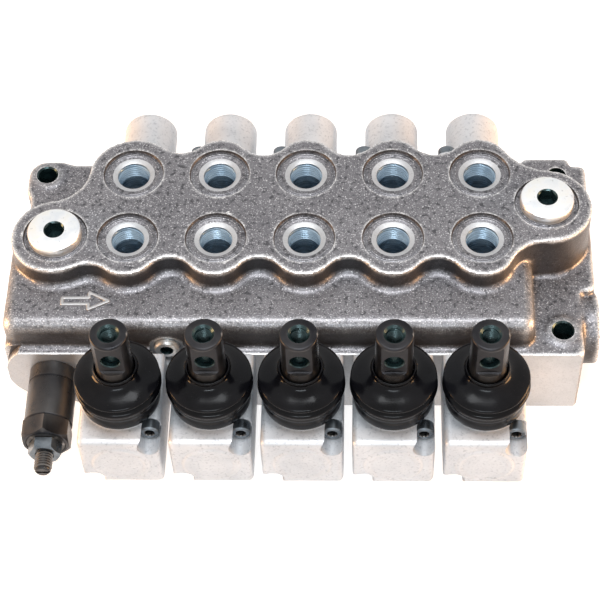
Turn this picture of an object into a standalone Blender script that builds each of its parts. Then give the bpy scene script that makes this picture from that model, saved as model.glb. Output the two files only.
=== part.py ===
"""Hydraulic directional control valve: a cast monoblock with five lever-operated spools.

Metres, +Z up, +X along the bank of sections, levers at the front (-Y).
The origin is on the base face, under the front work port of the middle section.
"""

import math

import bmesh
import bpy
from mathutils import Matrix, Vector

MM = 0.001

# Sections: the spools lie along Y, side by side
SECTIONS = 5
PITCH = 40.0
PORT_ROWS = 37.3
SPOOL_Z = 26.5

# Cast body
BODY_HEIGHT = 68.5
SHELF_DROP = 10.5
LEDGE_Z = 42.5
FRONT_REACH = 46.0
SHELF_SETBACK = 4.3
REAR_REACH = 27.0
LEFT_REACH = 55.5
RIGHT_REACH = 45.5
SHELF_RIGHT_REACH = 23.0
SHELF_REAR_Y = 8.0
REAR_STEP_REACH = 52.3
REAR_STEP_Y = -11.0
SHELF_EDGE_R = 5.6
PLATE_EDGE_R = 1.2
LEDGE_EDGE_R = 1.0
CORNER_R = 4.0
CAST_STEP = 0.4
FACE_CUT_DEPTH = 16.0
FACE_CUT_WIDTH = 14.0
TANK_BOSS_ROOT = 8.0

# Wavy top plate: a round lobe in front of each port, with hollows between the lobes
LOBE_REACH = 20.6
LOBE_R = 14.1
VALLEY_R = 11.5
REAR_VALLEY_R = 12.5
REAR_END_LOBE_R = 20.6
PUMP_LOBE_R = 20.3
PUMP_FRONT_FILLET_R = 12.0
PUMP_REAR_FILLET_R = 18.0
TANK_LOBE_R = 20.6
TANK_LOBE_SETBACK = 1.2
TANK_FRONT_FILLET_R = 17.0
TANK_REAR_FILLET_R = 25.0

# Ports, all of one thread size
PORT_BORE_R = 7.5
PORT_CHAMFER_R = 9.75
PORT_CHAMFER_DEPTH = 0.8
SPOTFACE_R = 13.5
SPOTFACE_DEPTH = 1.2
SIDE_PORT_DEPTH = 12.0
PUMP_PLUG_REACH = 33.0
PUMP_PLUG_Y = 1.3
TANK_PLUG_REACH = 29.8
TANK_PLUG_Y = 19.7
PLUG_SPOTFACE_R = 14.2
PLUG_HEAD_R = 12.2
PLUG_HEAD_HEIGHT = 5.2
PLUG_SHANK_LENGTH = 12.0
PLUG_HEX = 8.0
PLUG_HEX_DEPTH = 6.5
PLUG_EDGE = 0.8
PLUG_TIP = 1.0

# Passages inside the casting
PUMP_GALLERY_R = 7.0
PUMP_GALLERY_Z = 32.0
TANK_GALLERY_R = 5.5
TANK_FRONT_Y = -21.0
TANK_REAR_SETBACK = 13.2
TANK_REAR_R = 4.5
CHAMBER_R = 10.5
CHAMBER_HALF = 8.2
TANK_BOSS_R = 15.6
TANK_BOSS_REACH = 53.5

# Mounting holes
MOUNT_HOLE_R = 4.5
MOUNT_LUG_R = 9.2
FRONT_HOLE = (36.3, -33.1)
REAR_HOLE_SETBACK = 7.1
LEFT_HOLE_REACH = 45.9
RIGHT_HOLE_REACH = 38.4
LUG_PROUD = 3.4
LUG_SIDE = 6.6
LUG_STEP = 4.6
LUG_RUN = 15.0
LUG_TAPER = 3.0
LUG_FLARE = 4.0
LUG_CORNER_R = 3.0
LUG_ROOT_R = 1.5
STEP_R = 2.0
WAIST_INSET = 3.0
WAIST_GAP = 6.0
WAIST_LENGTH = 8.0
WAIST_RUN = 4.0
PAD_R = 7.6
PAD_HEIGHT = 0.8

# Spool, with the eye that the lever's tongue moves
SPOOL_R = 7.7
FIT = 0.3
SPOOL_NECK_R = 4.8
SEAL_R = 11.0
SEAL_DEPTH = 5.5
SEAL_LIP = 1.2
EYE_REACH = 9.0
EYE_FLAT = 4.5
TANK_LAP = 3.5
PUMP_LAP = 4.0

# Lever and its ball joint
LEVER_Y = -69.5
LEVER_ARM = 20.0
BALL_R = 8.0
TONGUE_R = 3.8
TONGUE_SHANK_R = 2.3
SHAFT_R = 3.7
STUB_R = 8.15
STUB_TOP = 46.7
STUB_BASE = 17.5
STUB_TAPER = 4.0
STUB_EDGE = 0.8
LEVER_THREAD_R = 3.7
LEVER_THREAD_DEPTH = 17.0
LEVER_THREAD_CHAMFER = 0.9
CROSS_HOLE_R = 4.0
CROSS_HOLE_DROP = 12.5
STUB_FLAT_Y = 6.0
STUB_FLAT_DROP = 1.5
STUB_FLAT_LENGTH = 18.5

# Die-cast lever box on the front face
BOX_WIDTH = 36.0
BOX_DEPTH = 47.2
BOX_BELOW = 16.0
BOX_ABOVE = 16.8
BOX_EDGE_R = 2.2
BOX_BOSS_R = 10.9
BOX_BOSS_PROUD = 0.9
BOX_CHAMBER_R = 10.0
BOX_FRONT_WALL = 6.0
NECK_R = 15.5
NECK_HEIGHT = 8.5
BALL_SEAT_R = 6.0
BALL_SEAT_CHAMFER = 1.2
SCREW_X = 13.3
SCREW_RISE = 12.9
SCREW_HEAD_R = 4.25
SCREW_HEAD_HEIGHT = 5.0
SCREW_CHANNEL_R = 5.1
SCREW_CHANNEL_LENGTH = 13.0

# Ball retaining ring, screwed into the neck
RING_R = 12.5
RING_HEIGHT = 4.2
RING_FOOT = 2.4
RING_TOP_R = 6.9
RING_TOUCH_R = 5.9
RING_MOUTH_R = 7.3
RING_LIP = 0.35

# Rubber bellows boot
BOOT_SKIRT_R = 17.6
BOOT_RIM_R = 19.2
BOOT_GROOVE_R = 16.8
BOOT_COLLAR_R = 9.7
BOOT_WALL = 1.5
BOOT_TOP = 22.3
BOOT_LIP = 0.2
BOOT_FLARE = 2.2
BOOT_SHOULDER = 1.2
BOOT_LIP_DROP = 2.4
BOOT_FLARE_DROP = 4.4
BOOT_SHOULDER_DROP = 5.9
BOOT_RIM_DROP = 7.4
BOOT_GROOVE_DROP = 9.6
BOOT_LOWER_RIM_DROP = 11.8
BOOT_RIM_END_DROP = 13.6
BOOT_SKIRT_DROP = 15.0
BOOT_ROOF = 0.8
BOOT_FOOT_GAP = 1.2

# Rear cap with the centring spring
CAP_R = 13.0
CAP_LENGTH = 36.5
CAP_EDGE_R = 4.0
CAP_FLANGE = 5.5
CAP_WALL = 2.5
FLANGE_PROUD = 0.8
FLANGE_RIM = 1.2
SPRING_ROOM = 18.7
END_SCREW_R = 3.0
END_SCREW_DEPTH = 12.0
END_HEAD_R = 7.4
END_HEAD_HEIGHT = 3.0
CAP_STOP_GAP = 8.0
SPRING_MEAN_R = 7.9
SPRING_WIRE_WIDTH = 2.6
SPRING_WIRE_HEIGHT = 1.7
SPRING_TURNS = 3.5

# Pressure relief cartridge
RELIEF_REACH = 34.5
RELIEF_BODY_R = 10.5
RELIEF_SHANK_R = 8.7
RELIEF_BODY_LENGTH = 28.0
RELIEF_HEX = 20.5
RELIEF_HEX_LENGTH = 7.0
RELIEF_HEX_TURN = math.radians(30)
RELIEF_NOSE_PAST_TANK = 8.0
RELIEF_BORE_R = 5.6
RELIEF_SEAT_R = 2.5
RELIEF_WALL = 3.0
RELIEF_CHAMFER = 1.5
RELIEF_DRAIN_R = 2.3
RELIEF_STUD_R = 4.0
RELIEF_STUD_TIP = 52.0
RELIEF_SLOT_WIDTH = 1.3
RELIEF_SLOT_DEPTH = 2.0
RELIEF_STUD_EDGE = 0.8
RELIEF_PASSAGE_R = 5.5
NUT_HEX = 13.0
NUT_HEIGHT = 6.8
POPPET_R = 5.0
POPPET_LENGTH = 6.0
SPIGOT_R = 2.5
SPIGOT_LENGTH = 2.5
RELIEF_SPRING_FOOT = 10.0
RELIEF_SPRING_R = 4.0
RELIEF_WIRE = 1.3
RELIEF_TURNS = 5
SEAT_THICKNESS = 3.7
SEAT_SPIGOT = 3.0

# Load check valve between the first two sections
CHECK_Z = 41.5
CHECK_ASIDE = 1.7
CHECK_BORE_R = 6.0
CHECK_SPOTFACE_R = 8.0
CHECK_SPOTFACE_DEPTH = 0.7
CHECK_PLUG_LENGTH = 11.7
CHECK_HEX = 5.0
CHECK_HEX_DEPTH = 4.0
CHECK_SEAT_Y = 4.0
CHECK_SEAT_R = 3.5
CHECK_POPPET_LENGTH = 9.0
CHECK_SPRING_R = 3.7
CHECK_TURNS = 3.5

OVERLAP = 2.0
MARGIN = 1.0
ROUND_STEPS = 12
FINE_STEPS = 10
COARSE_STEPS = 8
BALL_RINGS = 5
BOSS_STEPS = 16
ANGLE_MARGIN = math.radians(3)

SHELF_Z = BODY_HEIGHT - SHELF_DROP
HALF_BANK = (SECTIONS - 1) / 2 * PITCH
COLUMNS = [index * PITCH - HALF_BANK for index in range(SECTIONS)]
FRONT_Y = -FRONT_REACH
SHELF_FRONT_Y = FRONT_Y + SHELF_SETBACK
REAR_Y = PORT_ROWS + REAR_REACH
LEFT_X = -HALF_BANK - LEFT_REACH
RIGHT_X = HALF_BANK + RIGHT_REACH
STEP_X = HALF_BANK + REAR_STEP_REACH
PUMP_GALLERY_Y = PORT_ROWS / 2
TANK_REAR_Y = PORT_ROWS + TANK_REAR_SETBACK
BORE_R = SPOOL_R + FIT
PIVOT_Z = SPOOL_Z + LEVER_ARM
BOX_TOP = SPOOL_Z + BOX_ABOVE
BOX_BOTTOM = SPOOL_Z - BOX_BELOW
BOX_REAR_Y = FRONT_Y - FIT
BOX_FRONT_Y = BOX_REAR_Y - BOX_DEPTH
CAP_FOOT_Y = REAR_Y + FIT
SPRING_FOOT_Y = REAR_Y + FIT
SPRING_HEAD_Y = REAR_Y + SPRING_ROOM
SCREW_POINTS = ((SCREW_X, SCREW_RISE), (-SCREW_X, -SCREW_RISE))
RELIEF_X = -HALF_BANK - RELIEF_REACH
FACE_BOSS_R = RELIEF_X - LEFT_X + CAST_STEP
RELIEF_NOSE = TANK_FRONT_Y - FRONT_Y + RELIEF_NOSE_PAST_TANK
CHECK_X = COLUMNS[0] + PITCH / 2 - CHECK_ASIDE
PLUG_POINTS = (
    (-HALF_BANK - PUMP_PLUG_REACH, PUMP_PLUG_Y),
    (HALF_BANK + TANK_PLUG_REACH, TANK_PLUG_Y),
)
REAR_HOLE_Y = REAR_Y - REAR_HOLE_SETBACK
MOUNT_HOLES = (
    (-HALF_BANK - LEFT_HOLE_REACH, REAR_HOLE_Y),
    (HALF_BANK + RIGHT_HOLE_REACH, REAR_HOLE_Y),
    (HALF_BANK + FRONT_HOLE[0], FRONT_HOLE[1]),
)

TURN_TO_Y = Matrix.Rotation(-math.pi / 2, 3, "X")
TURN_TO_FRONT = Matrix.Rotation(math.pi / 2, 3, "X")
TURN_TO_X = Matrix.Rotation(math.pi / 2, 3, "Y")


def clear_scene():
    for obj in list(bpy.data.objects):
        bpy.data.objects.remove(obj, do_unlink=True)


def make_material(name, colour, roughness, metallic):
    material = bpy.data.materials.new(name)
    material.use_nodes = True
    shader = material.node_tree.nodes["Principled BSDF"]
    shader.inputs["Base Color"].default_value = (*colour, 1.0)
    shader.inputs["Roughness"].default_value = roughness
    shader.inputs["Metallic"].default_value = metallic
    return material


def arc(centre, radius, start, end, step=math.radians(30)):
    """Points from one angle to another, both ends included."""
    count = max(1, math.ceil(abs(end - start) / step - 0.01))
    points = []
    for index in range(count + 1):
        angle = start + (end - start) * index / count
        points.append((centre[0] + radius * math.cos(angle), centre[1] + radius * math.sin(angle)))
    return points


def rounded_outline(corners):
    """Polygon from (x, y, corner radius), with each corner turned into an arc."""
    points = []
    for index, (x, y, radius) in enumerate(corners):
        corner = Vector((x, y))
        before = (Vector(corners[index - 1][:2]) - corner).normalized()
        after = (Vector(corners[(index + 1) % len(corners)][:2]) - corner).normalized()
        if radius <= 0:
            points.append((x, y))
            continue
        half = before.angle(after) / 2
        reach = radius / math.tan(half)
        centre = corner + (before + after).normalized() * radius / math.sin(half)
        first = corner + before * reach - centre
        last = corner + after * reach - centre
        start = math.atan2(first.y, first.x)
        sweep = (math.atan2(last.y, last.x) - start + math.pi) % (2 * math.pi) - math.pi
        points.extend(arc(centre, radius, start, start + sweep, math.radians(30)))
    return [point for index, point in enumerate(points) if math.dist(point, points[index - 1]) > 1e-3]


def lobed_outline(lobes):
    """Chain of circles (x, y, radius, fillet to the next), joined by hollow arcs outside them."""
    fillets = []
    for index, (x, y, radius, fillet) in enumerate(lobes):
        here = Vector((x, y))
        there = Vector(lobes[(index + 1) % len(lobes)][:2])
        next_radius = lobes[(index + 1) % len(lobes)][2]
        span = (there - here).length
        along = (there - here) / span
        outward = Vector((along.y, -along.x))
        near = radius + fillet
        far = next_radius + fillet
        run = (near**2 - far**2 + span**2) / (2 * span)
        centre = here + along * run + outward * math.sqrt(near**2 - run**2)
        fillets.append((centre, here - centre, there - centre))
    points = []
    for index, (x, y, radius, fillet) in enumerate(lobes):
        _, _, arriving = fillets[index - 1]
        centre, leaving, landing = fillets[index]
        start = math.atan2(-arriving.y, -arriving.x)
        end = math.atan2(-leaving.y, -leaving.x)
        end += 2 * math.pi * (end < start)
        points.extend(arc((x, y), radius, start, end)[:-1])
        start = math.atan2(leaving.y, leaving.x)
        end = math.atan2(landing.y, landing.x)
        end -= 2 * math.pi * (end > start)
        points.extend(arc(centre, fillet, start, end)[:-1])
    return points


def prism(outline, low, high, edge=0.0, edge_steps=2, turn=None):
    """Outline extruded along Z, with its upper edge rounded off."""
    bm = bmesh.new()
    floor = bm.faces.new([bm.verts.new((x, y, low)) for x, y in outline])
    top = bmesh.ops.extrude_face_region(bm, geom=[floor])["geom"]
    top_verts = [item for item in top if isinstance(item, bmesh.types.BMVert)]
    bmesh.ops.translate(bm, verts=top_verts, vec=(0, 0, high - low))
    bmesh.ops.recalc_face_normals(bm, faces=bm.faces)
    if edge:
        rim = [e for e in bm.edges if all(abs(v.co.z - high) < 1e-6 for v in e.verts)]
        bmesh.ops.bevel(bm, geom=rim, offset=edge, segments=edge_steps, profile=0.5, affect="EDGES")
    if turn:
        bmesh.ops.transform(bm, matrix=turn.to_4x4(), verts=bm.verts)
    return bm


def block(low, high, edge=0.0, edge_steps=2, keep=()):
    """Box between two corners, with its edges rounded except on the faces in keep."""
    bm = bmesh.new()
    size = [b - a for a, b in zip(low, high)]
    middle = [(a + b) / 2 for a, b in zip(low, high)]
    bmesh.ops.create_cube(bm, size=1.0)
    bmesh.ops.scale(bm, vec=size, verts=bm.verts)
    bmesh.ops.translate(bm, vec=middle, verts=bm.verts)
    if edge:
        kept = [(axis, (low, high)[side][axis]) for axis, side in keep]
        rounded = []
        for line in bm.edges:
            ends = [v.co for v in line.verts]
            if not any(all(abs(co[axis] - at) < 1e-6 for co in ends) for axis, at in kept):
                rounded.append(line)
        bmesh.ops.bevel(bm, geom=rounded, offset=edge, segments=edge_steps, profile=0.5, affect="EDGES")
    return bm


def turned(profile, steps=ROUND_STEPS, turn=None, at=(0, 0, 0), twist=0.0):
    """Solid of revolution from (radius, height) points; one that leaves the axis is a ring."""
    bm = bmesh.new()
    verts = [bm.verts.new((radius, 0, height)) for radius, height in profile]
    edges = [bm.edges.new(pair) for pair in zip(verts, verts[1:])]
    if profile[0][0] > 0 or profile[-1][0] > 0:
        edges.append(bm.edges.new((verts[-1], verts[0])))
    bmesh.ops.spin(
        bm,
        geom=verts + edges,
        cent=(0, 0, 0),
        axis=(0, 0, 1),
        angle=2 * math.pi,
        steps=steps,
        use_merge=True,
    )
    bmesh.ops.remove_doubles(bm, verts=bm.verts, dist=1e-4)
    flat = []
    for vert in bm.verts:
        level = all(abs(line.other_vert(vert).co.z - vert.co.z) < 1e-6 for line in vert.link_edges)
        if level and vert.co.xy.length < 1e-6:
            flat.append(vert)
    bmesh.ops.dissolve_verts(bm, verts=flat)
    bmesh.ops.recalc_face_normals(bm, faces=bm.faces)
    matrix = Matrix.Translation(at)
    if turn:
        matrix = matrix @ turn.to_4x4()
    matrix = matrix @ Matrix.Rotation(twist * math.pi / steps, 4, "Z")
    bmesh.ops.transform(bm, matrix=matrix, verts=bm.verts)
    return bm


def rod(radius, low, high, steps=ROUND_STEPS, turn=None, at=(0, 0, 0), twist=0.0):
    return turned([(0, low), (radius, low), (radius, high), (0, high)], steps, turn, at, twist)


def hexagon(across_flats):
    radius = across_flats / math.sqrt(3)
    return [(radius * math.cos(i * math.pi / 3), radius * math.sin(i * math.pi / 3)) for i in range(6)]


def hex_bar(across_flats, low, high, turn=None, at=(0, 0, 0)):
    bm = prism(hexagon(across_flats), low, high, turn=turn)
    bmesh.ops.translate(bm, vec=at, verts=bm.verts)
    return bm


def helix(radius, width, height, low, high, turns, steps=6):
    """Coil of rectangular wire about Z, with its ends cut square."""
    bm = bmesh.new()
    count = round(turns * steps)
    low_centre = low + height / 2
    rise = high - low - height
    rings = []
    for index in range(count + 1):
        angle = 2 * math.pi * index / steps
        centre = low_centre + rise * index / count
        ring = []
        for side, up in ((-1, -1), (1, -1), (1, 1), (-1, 1)):
            reach = radius + side * width / 2
            level = centre + up * height / 2
            ring.append(bm.verts.new((reach * math.cos(angle), reach * math.sin(angle), level)))
        rings.append(ring)
    for ring, following in zip(rings, rings[1:]):
        for side in range(4):
            other = (side + 1) % 4
            bm.faces.new((ring[side], ring[other], following[other], following[side]))
    bm.faces.new(rings[0])
    bm.faces.new(rings[-1])
    bmesh.ops.triangulate(bm, faces=bm.faces)
    bmesh.ops.recalc_face_normals(bm, faces=bm.faces)
    return bm


def to_mesh(bm, name):
    mesh = bpy.data.meshes.new(name)
    bmesh.ops.scale(bm, vec=(MM, MM, MM), verts=bm.verts)
    bm.to_mesh(mesh)
    bm.free()
    return mesh


def shaped(name, base, adds=(), cuts=(), lasts=()):
    """Mesh of a base form with forms joined on, then forms cut away, then more joined on."""
    obj = bpy.data.objects.new(name, to_mesh(base, name))
    bpy.context.scene.collection.objects.link(obj)
    helpers = []
    for operation, forms in (("UNION", adds), ("DIFFERENCE", cuts), ("UNION", lasts)):
        for form in forms:
            helper = bpy.data.objects.new("helper", to_mesh(form, "helper"))
            helper.hide_render = True
            helper.display_type = "WIRE"
            bpy.context.scene.collection.objects.link(helper)
            helpers.append(helper)
            modifier = obj.modifiers.new(operation.lower(), "BOOLEAN")
            modifier.operation = operation
            modifier.solver = "EXACT"
            modifier.object = helper
    graph = bpy.context.evaluated_depsgraph_get()
    mesh = bpy.data.meshes.new_from_object(obj.evaluated_get(graph))
    for item in (obj, *helpers):
        bpy.data.objects.remove(item, do_unlink=True)
    bm = bmesh.new()
    bm.from_mesh(mesh)
    bmesh.ops.remove_doubles(bm, verts=bm.verts, dist=1e-7)
    bmesh.ops.dissolve_degenerate(bm, edges=bm.edges, dist=1e-7)
    bmesh.ops.triangulate(bm, faces=[face for face in bm.faces if len(face.verts) > 4])
    bm.to_mesh(mesh)
    bm.free()
    mesh.name = name
    return mesh


def place(name, mesh, material, location=(0, 0, 0)):
    """Object with its mesh, its material and its origin at a point in millimetres."""
    obj = bpy.data.objects.new(name, mesh)
    obj.location = Vector(location) * MM
    bpy.context.scene.collection.objects.link(obj)
    if not mesh.materials:
        mesh.materials.append(material)
        mesh.shade_smooth()
        mesh.set_sharp_from_angle(angle=math.radians(32))
    return obj


def base_outline():
    """Plan of the lower block, with a round lug at the rear left and a square one at the rear right."""
    left_hole, right_hole, _ = MOUNT_HOLES
    lug_left = left_hole[0] - MOUNT_LUG_R
    lug_rear = left_hole[1] + MOUNT_LUG_R
    waist_x = LEFT_X + WAIST_INSET
    waist_y = left_hole[1] - MOUNT_LUG_R - WAIST_GAP
    right_lug_x = right_hole[0] + LUG_SIDE
    right_lug_y = REAR_Y + LUG_PROUD
    lug_root = right_hole[0] - LUG_RUN
    corners = [
        (LEFT_X, FRONT_Y, 0),
        (RIGHT_X, FRONT_Y, CORNER_R),
        (RIGHT_X, REAR_STEP_Y, STEP_R),
        (STEP_X, REAR_STEP_Y, CORNER_R),
        (STEP_X, right_lug_y - LUG_STEP, LUG_ROOT_R),
        (right_lug_x, right_lug_y - LUG_STEP, 0),
        (right_lug_x, right_lug_y, LUG_CORNER_R),
        (lug_root, right_lug_y, LUG_ROOT_R),
        (lug_root - LUG_TAPER, REAR_Y, 0),
        (left_hole[0] + MOUNT_LUG_R + LUG_FLARE, REAR_Y, 0),
        (left_hole[0] + MOUNT_LUG_R - LUG_FLARE / 2, lug_rear, STEP_R),
        (lug_left, lug_rear, MOUNT_LUG_R - MARGIN / 2),
        (lug_left, left_hole[1] - MOUNT_LUG_R, STEP_R),
        (waist_x, waist_y, 0),
        (waist_x, waist_y - WAIST_LENGTH, 0),
        (LEFT_X, waist_y - WAIST_LENGTH - WAIST_RUN, 0),
    ]
    return rounded_outline(corners)


def plate_outline():
    """Plan of the top plate, lobe by lobe, counter-clockwise from the pump port."""
    (pump_x, pump_y), (tank_x, tank_y) = PLUG_POINTS
    ahead = LOBE_REACH - LOBE_R
    lobes = [(pump_x, pump_y, PUMP_LOBE_R, PUMP_FRONT_FILLET_R)]
    for x in COLUMNS:
        last = x == COLUMNS[-1]
        lobes.append((x, -ahead, LOBE_R, TANK_FRONT_FILLET_R if last else VALLEY_R))
    lobes.append((tank_x, tank_y - TANK_LOBE_SETBACK, TANK_LOBE_R, TANK_REAR_FILLET_R))
    for x in reversed(COLUMNS[1:]):
        lobes.append((x, PORT_ROWS + ahead, LOBE_R, REAR_VALLEY_R))
    lobes.append((COLUMNS[0], PORT_ROWS, REAR_END_LOBE_R, PUMP_REAR_FILLET_R))
    return lobed_outline(lobes)


def port_cutter(spotface, bottom, turn=None, at=(0, 0, 0)):
    """Threaded port's hole, pointing up from a face at height 0."""
    floor = -SPOTFACE_DEPTH
    profile = [
        (0, MARGIN),
        (spotface, MARGIN),
        (spotface, floor),
        (PORT_CHAMFER_R, floor),
        (PORT_BORE_R, floor - PORT_CHAMFER_DEPTH),
        (PORT_BORE_R, bottom),
        (0, bottom),
    ]
    return turned(profile, ROUND_STEPS, turn, at)


def spool_bore(x):
    """Spool's bore, with the seal's counterbore and a wide chamber under each work port."""
    profile = [(0, FRONT_Y - MARGIN), (SEAL_R, FRONT_Y - MARGIN), (SEAL_R, FRONT_Y + SEAL_DEPTH)]
    profile.append((BORE_R, FRONT_Y + SEAL_DEPTH))
    for port_y in (0.0, PORT_ROWS):
        low = port_y - CHAMBER_HALF
        high = port_y + CHAMBER_HALF
        profile.extend([(BORE_R, low), (CHAMBER_R, low), (CHAMBER_R, high), (BORE_R, high)])
    profile.extend([(BORE_R, REAR_Y + MARGIN), (0, REAR_Y + MARGIN)])
    return turned(profile, FINE_STEPS, TURN_TO_Y, (x, 0, SPOOL_Z))


def corner_cutters():
    """Material outside the round machined face of the relief valve, below and above its axis."""
    axis = (RELIEF_X, SPOOL_Z)
    aside = math.acos((RELIEF_X - LEFT_X) / FACE_BOSS_R) - ANGLE_MARGIN
    inner_x = RELIEF_X + FACE_CUT_WIDTH
    low = [(LEFT_X - MARGIN, -MARGIN), (inner_x, -MARGIN), (inner_x, 0.0)]
    low.extend(reversed(arc(axis, FACE_BOSS_R, math.pi + aside, math.pi * 1.5)))
    low.append((LEFT_X - MARGIN, low[-1][1]))
    rise = math.asin((LEDGE_Z - SPOOL_Z + MARGIN) / FACE_BOSS_R)
    high = arc(axis, FACE_BOSS_R, math.pi - aside, math.pi - rise)
    high.append((high[-1][0], LEDGE_Z + OVERLAP))
    high.append((LEFT_X - MARGIN, LEDGE_Z + OVERLAP))
    high.append((LEFT_X - MARGIN, high[0][1]))
    front = MARGIN - FRONT_Y
    return [
        prism(low, -FRONT_Y - FACE_CUT_DEPTH, front, turn=TURN_TO_FRONT),
        prism(high, FIT - SHELF_FRONT_Y, front, turn=TURN_TO_FRONT),
    ]


def body_mesh():
    shelf_low = (LEFT_X + CAST_STEP, SHELF_FRONT_Y, LEDGE_Z - 3 * OVERLAP)
    shelf_high = (HALF_BANK + SHELF_RIGHT_REACH, SHELF_REAR_Y, SHELF_Z)
    tank_face = HALF_BANK + TANK_BOSS_REACH
    tank_axis = (0, TANK_FRONT_Y, SPOOL_Z)
    adds = [
        block(shelf_low, shelf_high, SHELF_EDGE_R, 3, keep=((2, 0),)),
        prism(plate_outline(), LEDGE_Z - OVERLAP, BODY_HEIGHT, PLATE_EDGE_R, 1),
        rod(TANK_BOSS_R, RIGHT_X - TANK_BOSS_ROOT, tank_face, BOSS_STEPS, TURN_TO_X, tank_axis),
    ]
    for x, y in MOUNT_HOLES[::2]:
        adds.append(rod(PAD_R, LEDGE_Z - OVERLAP, LEDGE_Z + PAD_HEIGHT, ROUND_STEPS, at=(x, y, 0)))

    tank_x = PLUG_POINTS[1][0]
    cuts = corner_cutters()
    for x in COLUMNS:
        cuts.append(spool_bore(x))
        for y in (0.0, PORT_ROWS):
            cuts.append(port_cutter(SPOTFACE_R, SPOOL_Z + MARGIN - BODY_HEIGHT, at=(x, y, BODY_HEIGHT)))
    for x, y in PLUG_POINTS:
        cuts.append(port_cutter(PLUG_SPOTFACE_R, SPOOL_Z + MARGIN - BODY_HEIGHT, at=(x, y, BODY_HEIGHT)))
    pump_end = COLUMNS[-1] + BORE_R + 2 * MARGIN
    pump_axis = (0, PUMP_GALLERY_Y, PUMP_GALLERY_Z)
    rear_axis = (0, TANK_REAR_Y, SPOOL_Z)
    side_face = PORT_CHAMFER_R + OVERLAP
    cuts.append(port_cutter(side_face, -SIDE_PORT_DEPTH, TURN_TO_X, (tank_face, *tank_axis[1:])))
    cuts.append(port_cutter(side_face, -SIDE_PORT_DEPTH, TURN_TO_X.inverted(), (LEFT_X, *pump_axis[1:])))
    galleries = (
        (PUMP_GALLERY_R, LEFT_X + MARGIN, pump_end, pump_axis),
        (TANK_GALLERY_R, RELIEF_X + OVERLAP, tank_face - MARGIN, tank_axis),
        (TANK_REAR_R, COLUMNS[0] - OVERLAP, tank_x + OVERLAP, rear_axis),
    )
    for radius, low, high, axis in galleries:
        cuts.append(rod(radius, low, high, FINE_STEPS, TURN_TO_X, axis, twist=0.5))
    cross_low = TANK_FRONT_Y - MARGIN
    cross_high = TANK_REAR_Y + MARGIN
    cross_r = TANK_GALLERY_R - CAST_STEP
    cuts.append(rod(cross_r, cross_low, cross_high, FINE_STEPS, TURN_TO_Y, (tank_x, 0, SPOOL_Z), twist=0.25))
    for x, y in MOUNT_HOLES:
        cuts.append(rod(MOUNT_HOLE_R, -MARGIN, LEDGE_Z + PAD_HEIGHT + MARGIN, FINE_STEPS, at=(x, y, 0)))
    nose_y = FRONT_Y + RELIEF_NOSE + FIT
    relief_bore = [
        (0, FRONT_Y - MARGIN),
        (RELIEF_SHANK_R + FIT, FRONT_Y - MARGIN),
        (RELIEF_SHANK_R + FIT, nose_y),
        (RELIEF_PASSAGE_R, nose_y),
        (RELIEF_PASSAGE_R, PUMP_GALLERY_Y + MARGIN),
        (0, PUMP_GALLERY_Y + MARGIN),
    ]
    cuts.append(turned(relief_bore, ROUND_STEPS, TURN_TO_Y, (RELIEF_X, 0, SPOOL_Z)))
    check_floor = SHELF_FRONT_Y + CHECK_SPOTFACE_DEPTH
    check_bore = [
        (0, FRONT_Y - MARGIN),
        (CHECK_SPOTFACE_R, FRONT_Y - MARGIN),
        (CHECK_SPOTFACE_R, check_floor),
        (CHECK_BORE_R, check_floor),
        (CHECK_BORE_R, CHECK_SEAT_Y),
        (CHECK_SEAT_R, CHECK_SEAT_Y),
        (CHECK_SEAT_R, PUMP_GALLERY_Y + MARGIN),
        (0, PUMP_GALLERY_Y + MARGIN),
    ]
    cuts.append(turned(check_bore, FINE_STEPS, TURN_TO_Y, (CHECK_X, 0, CHECK_Z)))
    lower = prism(base_outline(), 0.0, LEDGE_Z, LEDGE_EDGE_R, 1)
    return shaped("valve_body", lower, adds, cuts)


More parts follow.
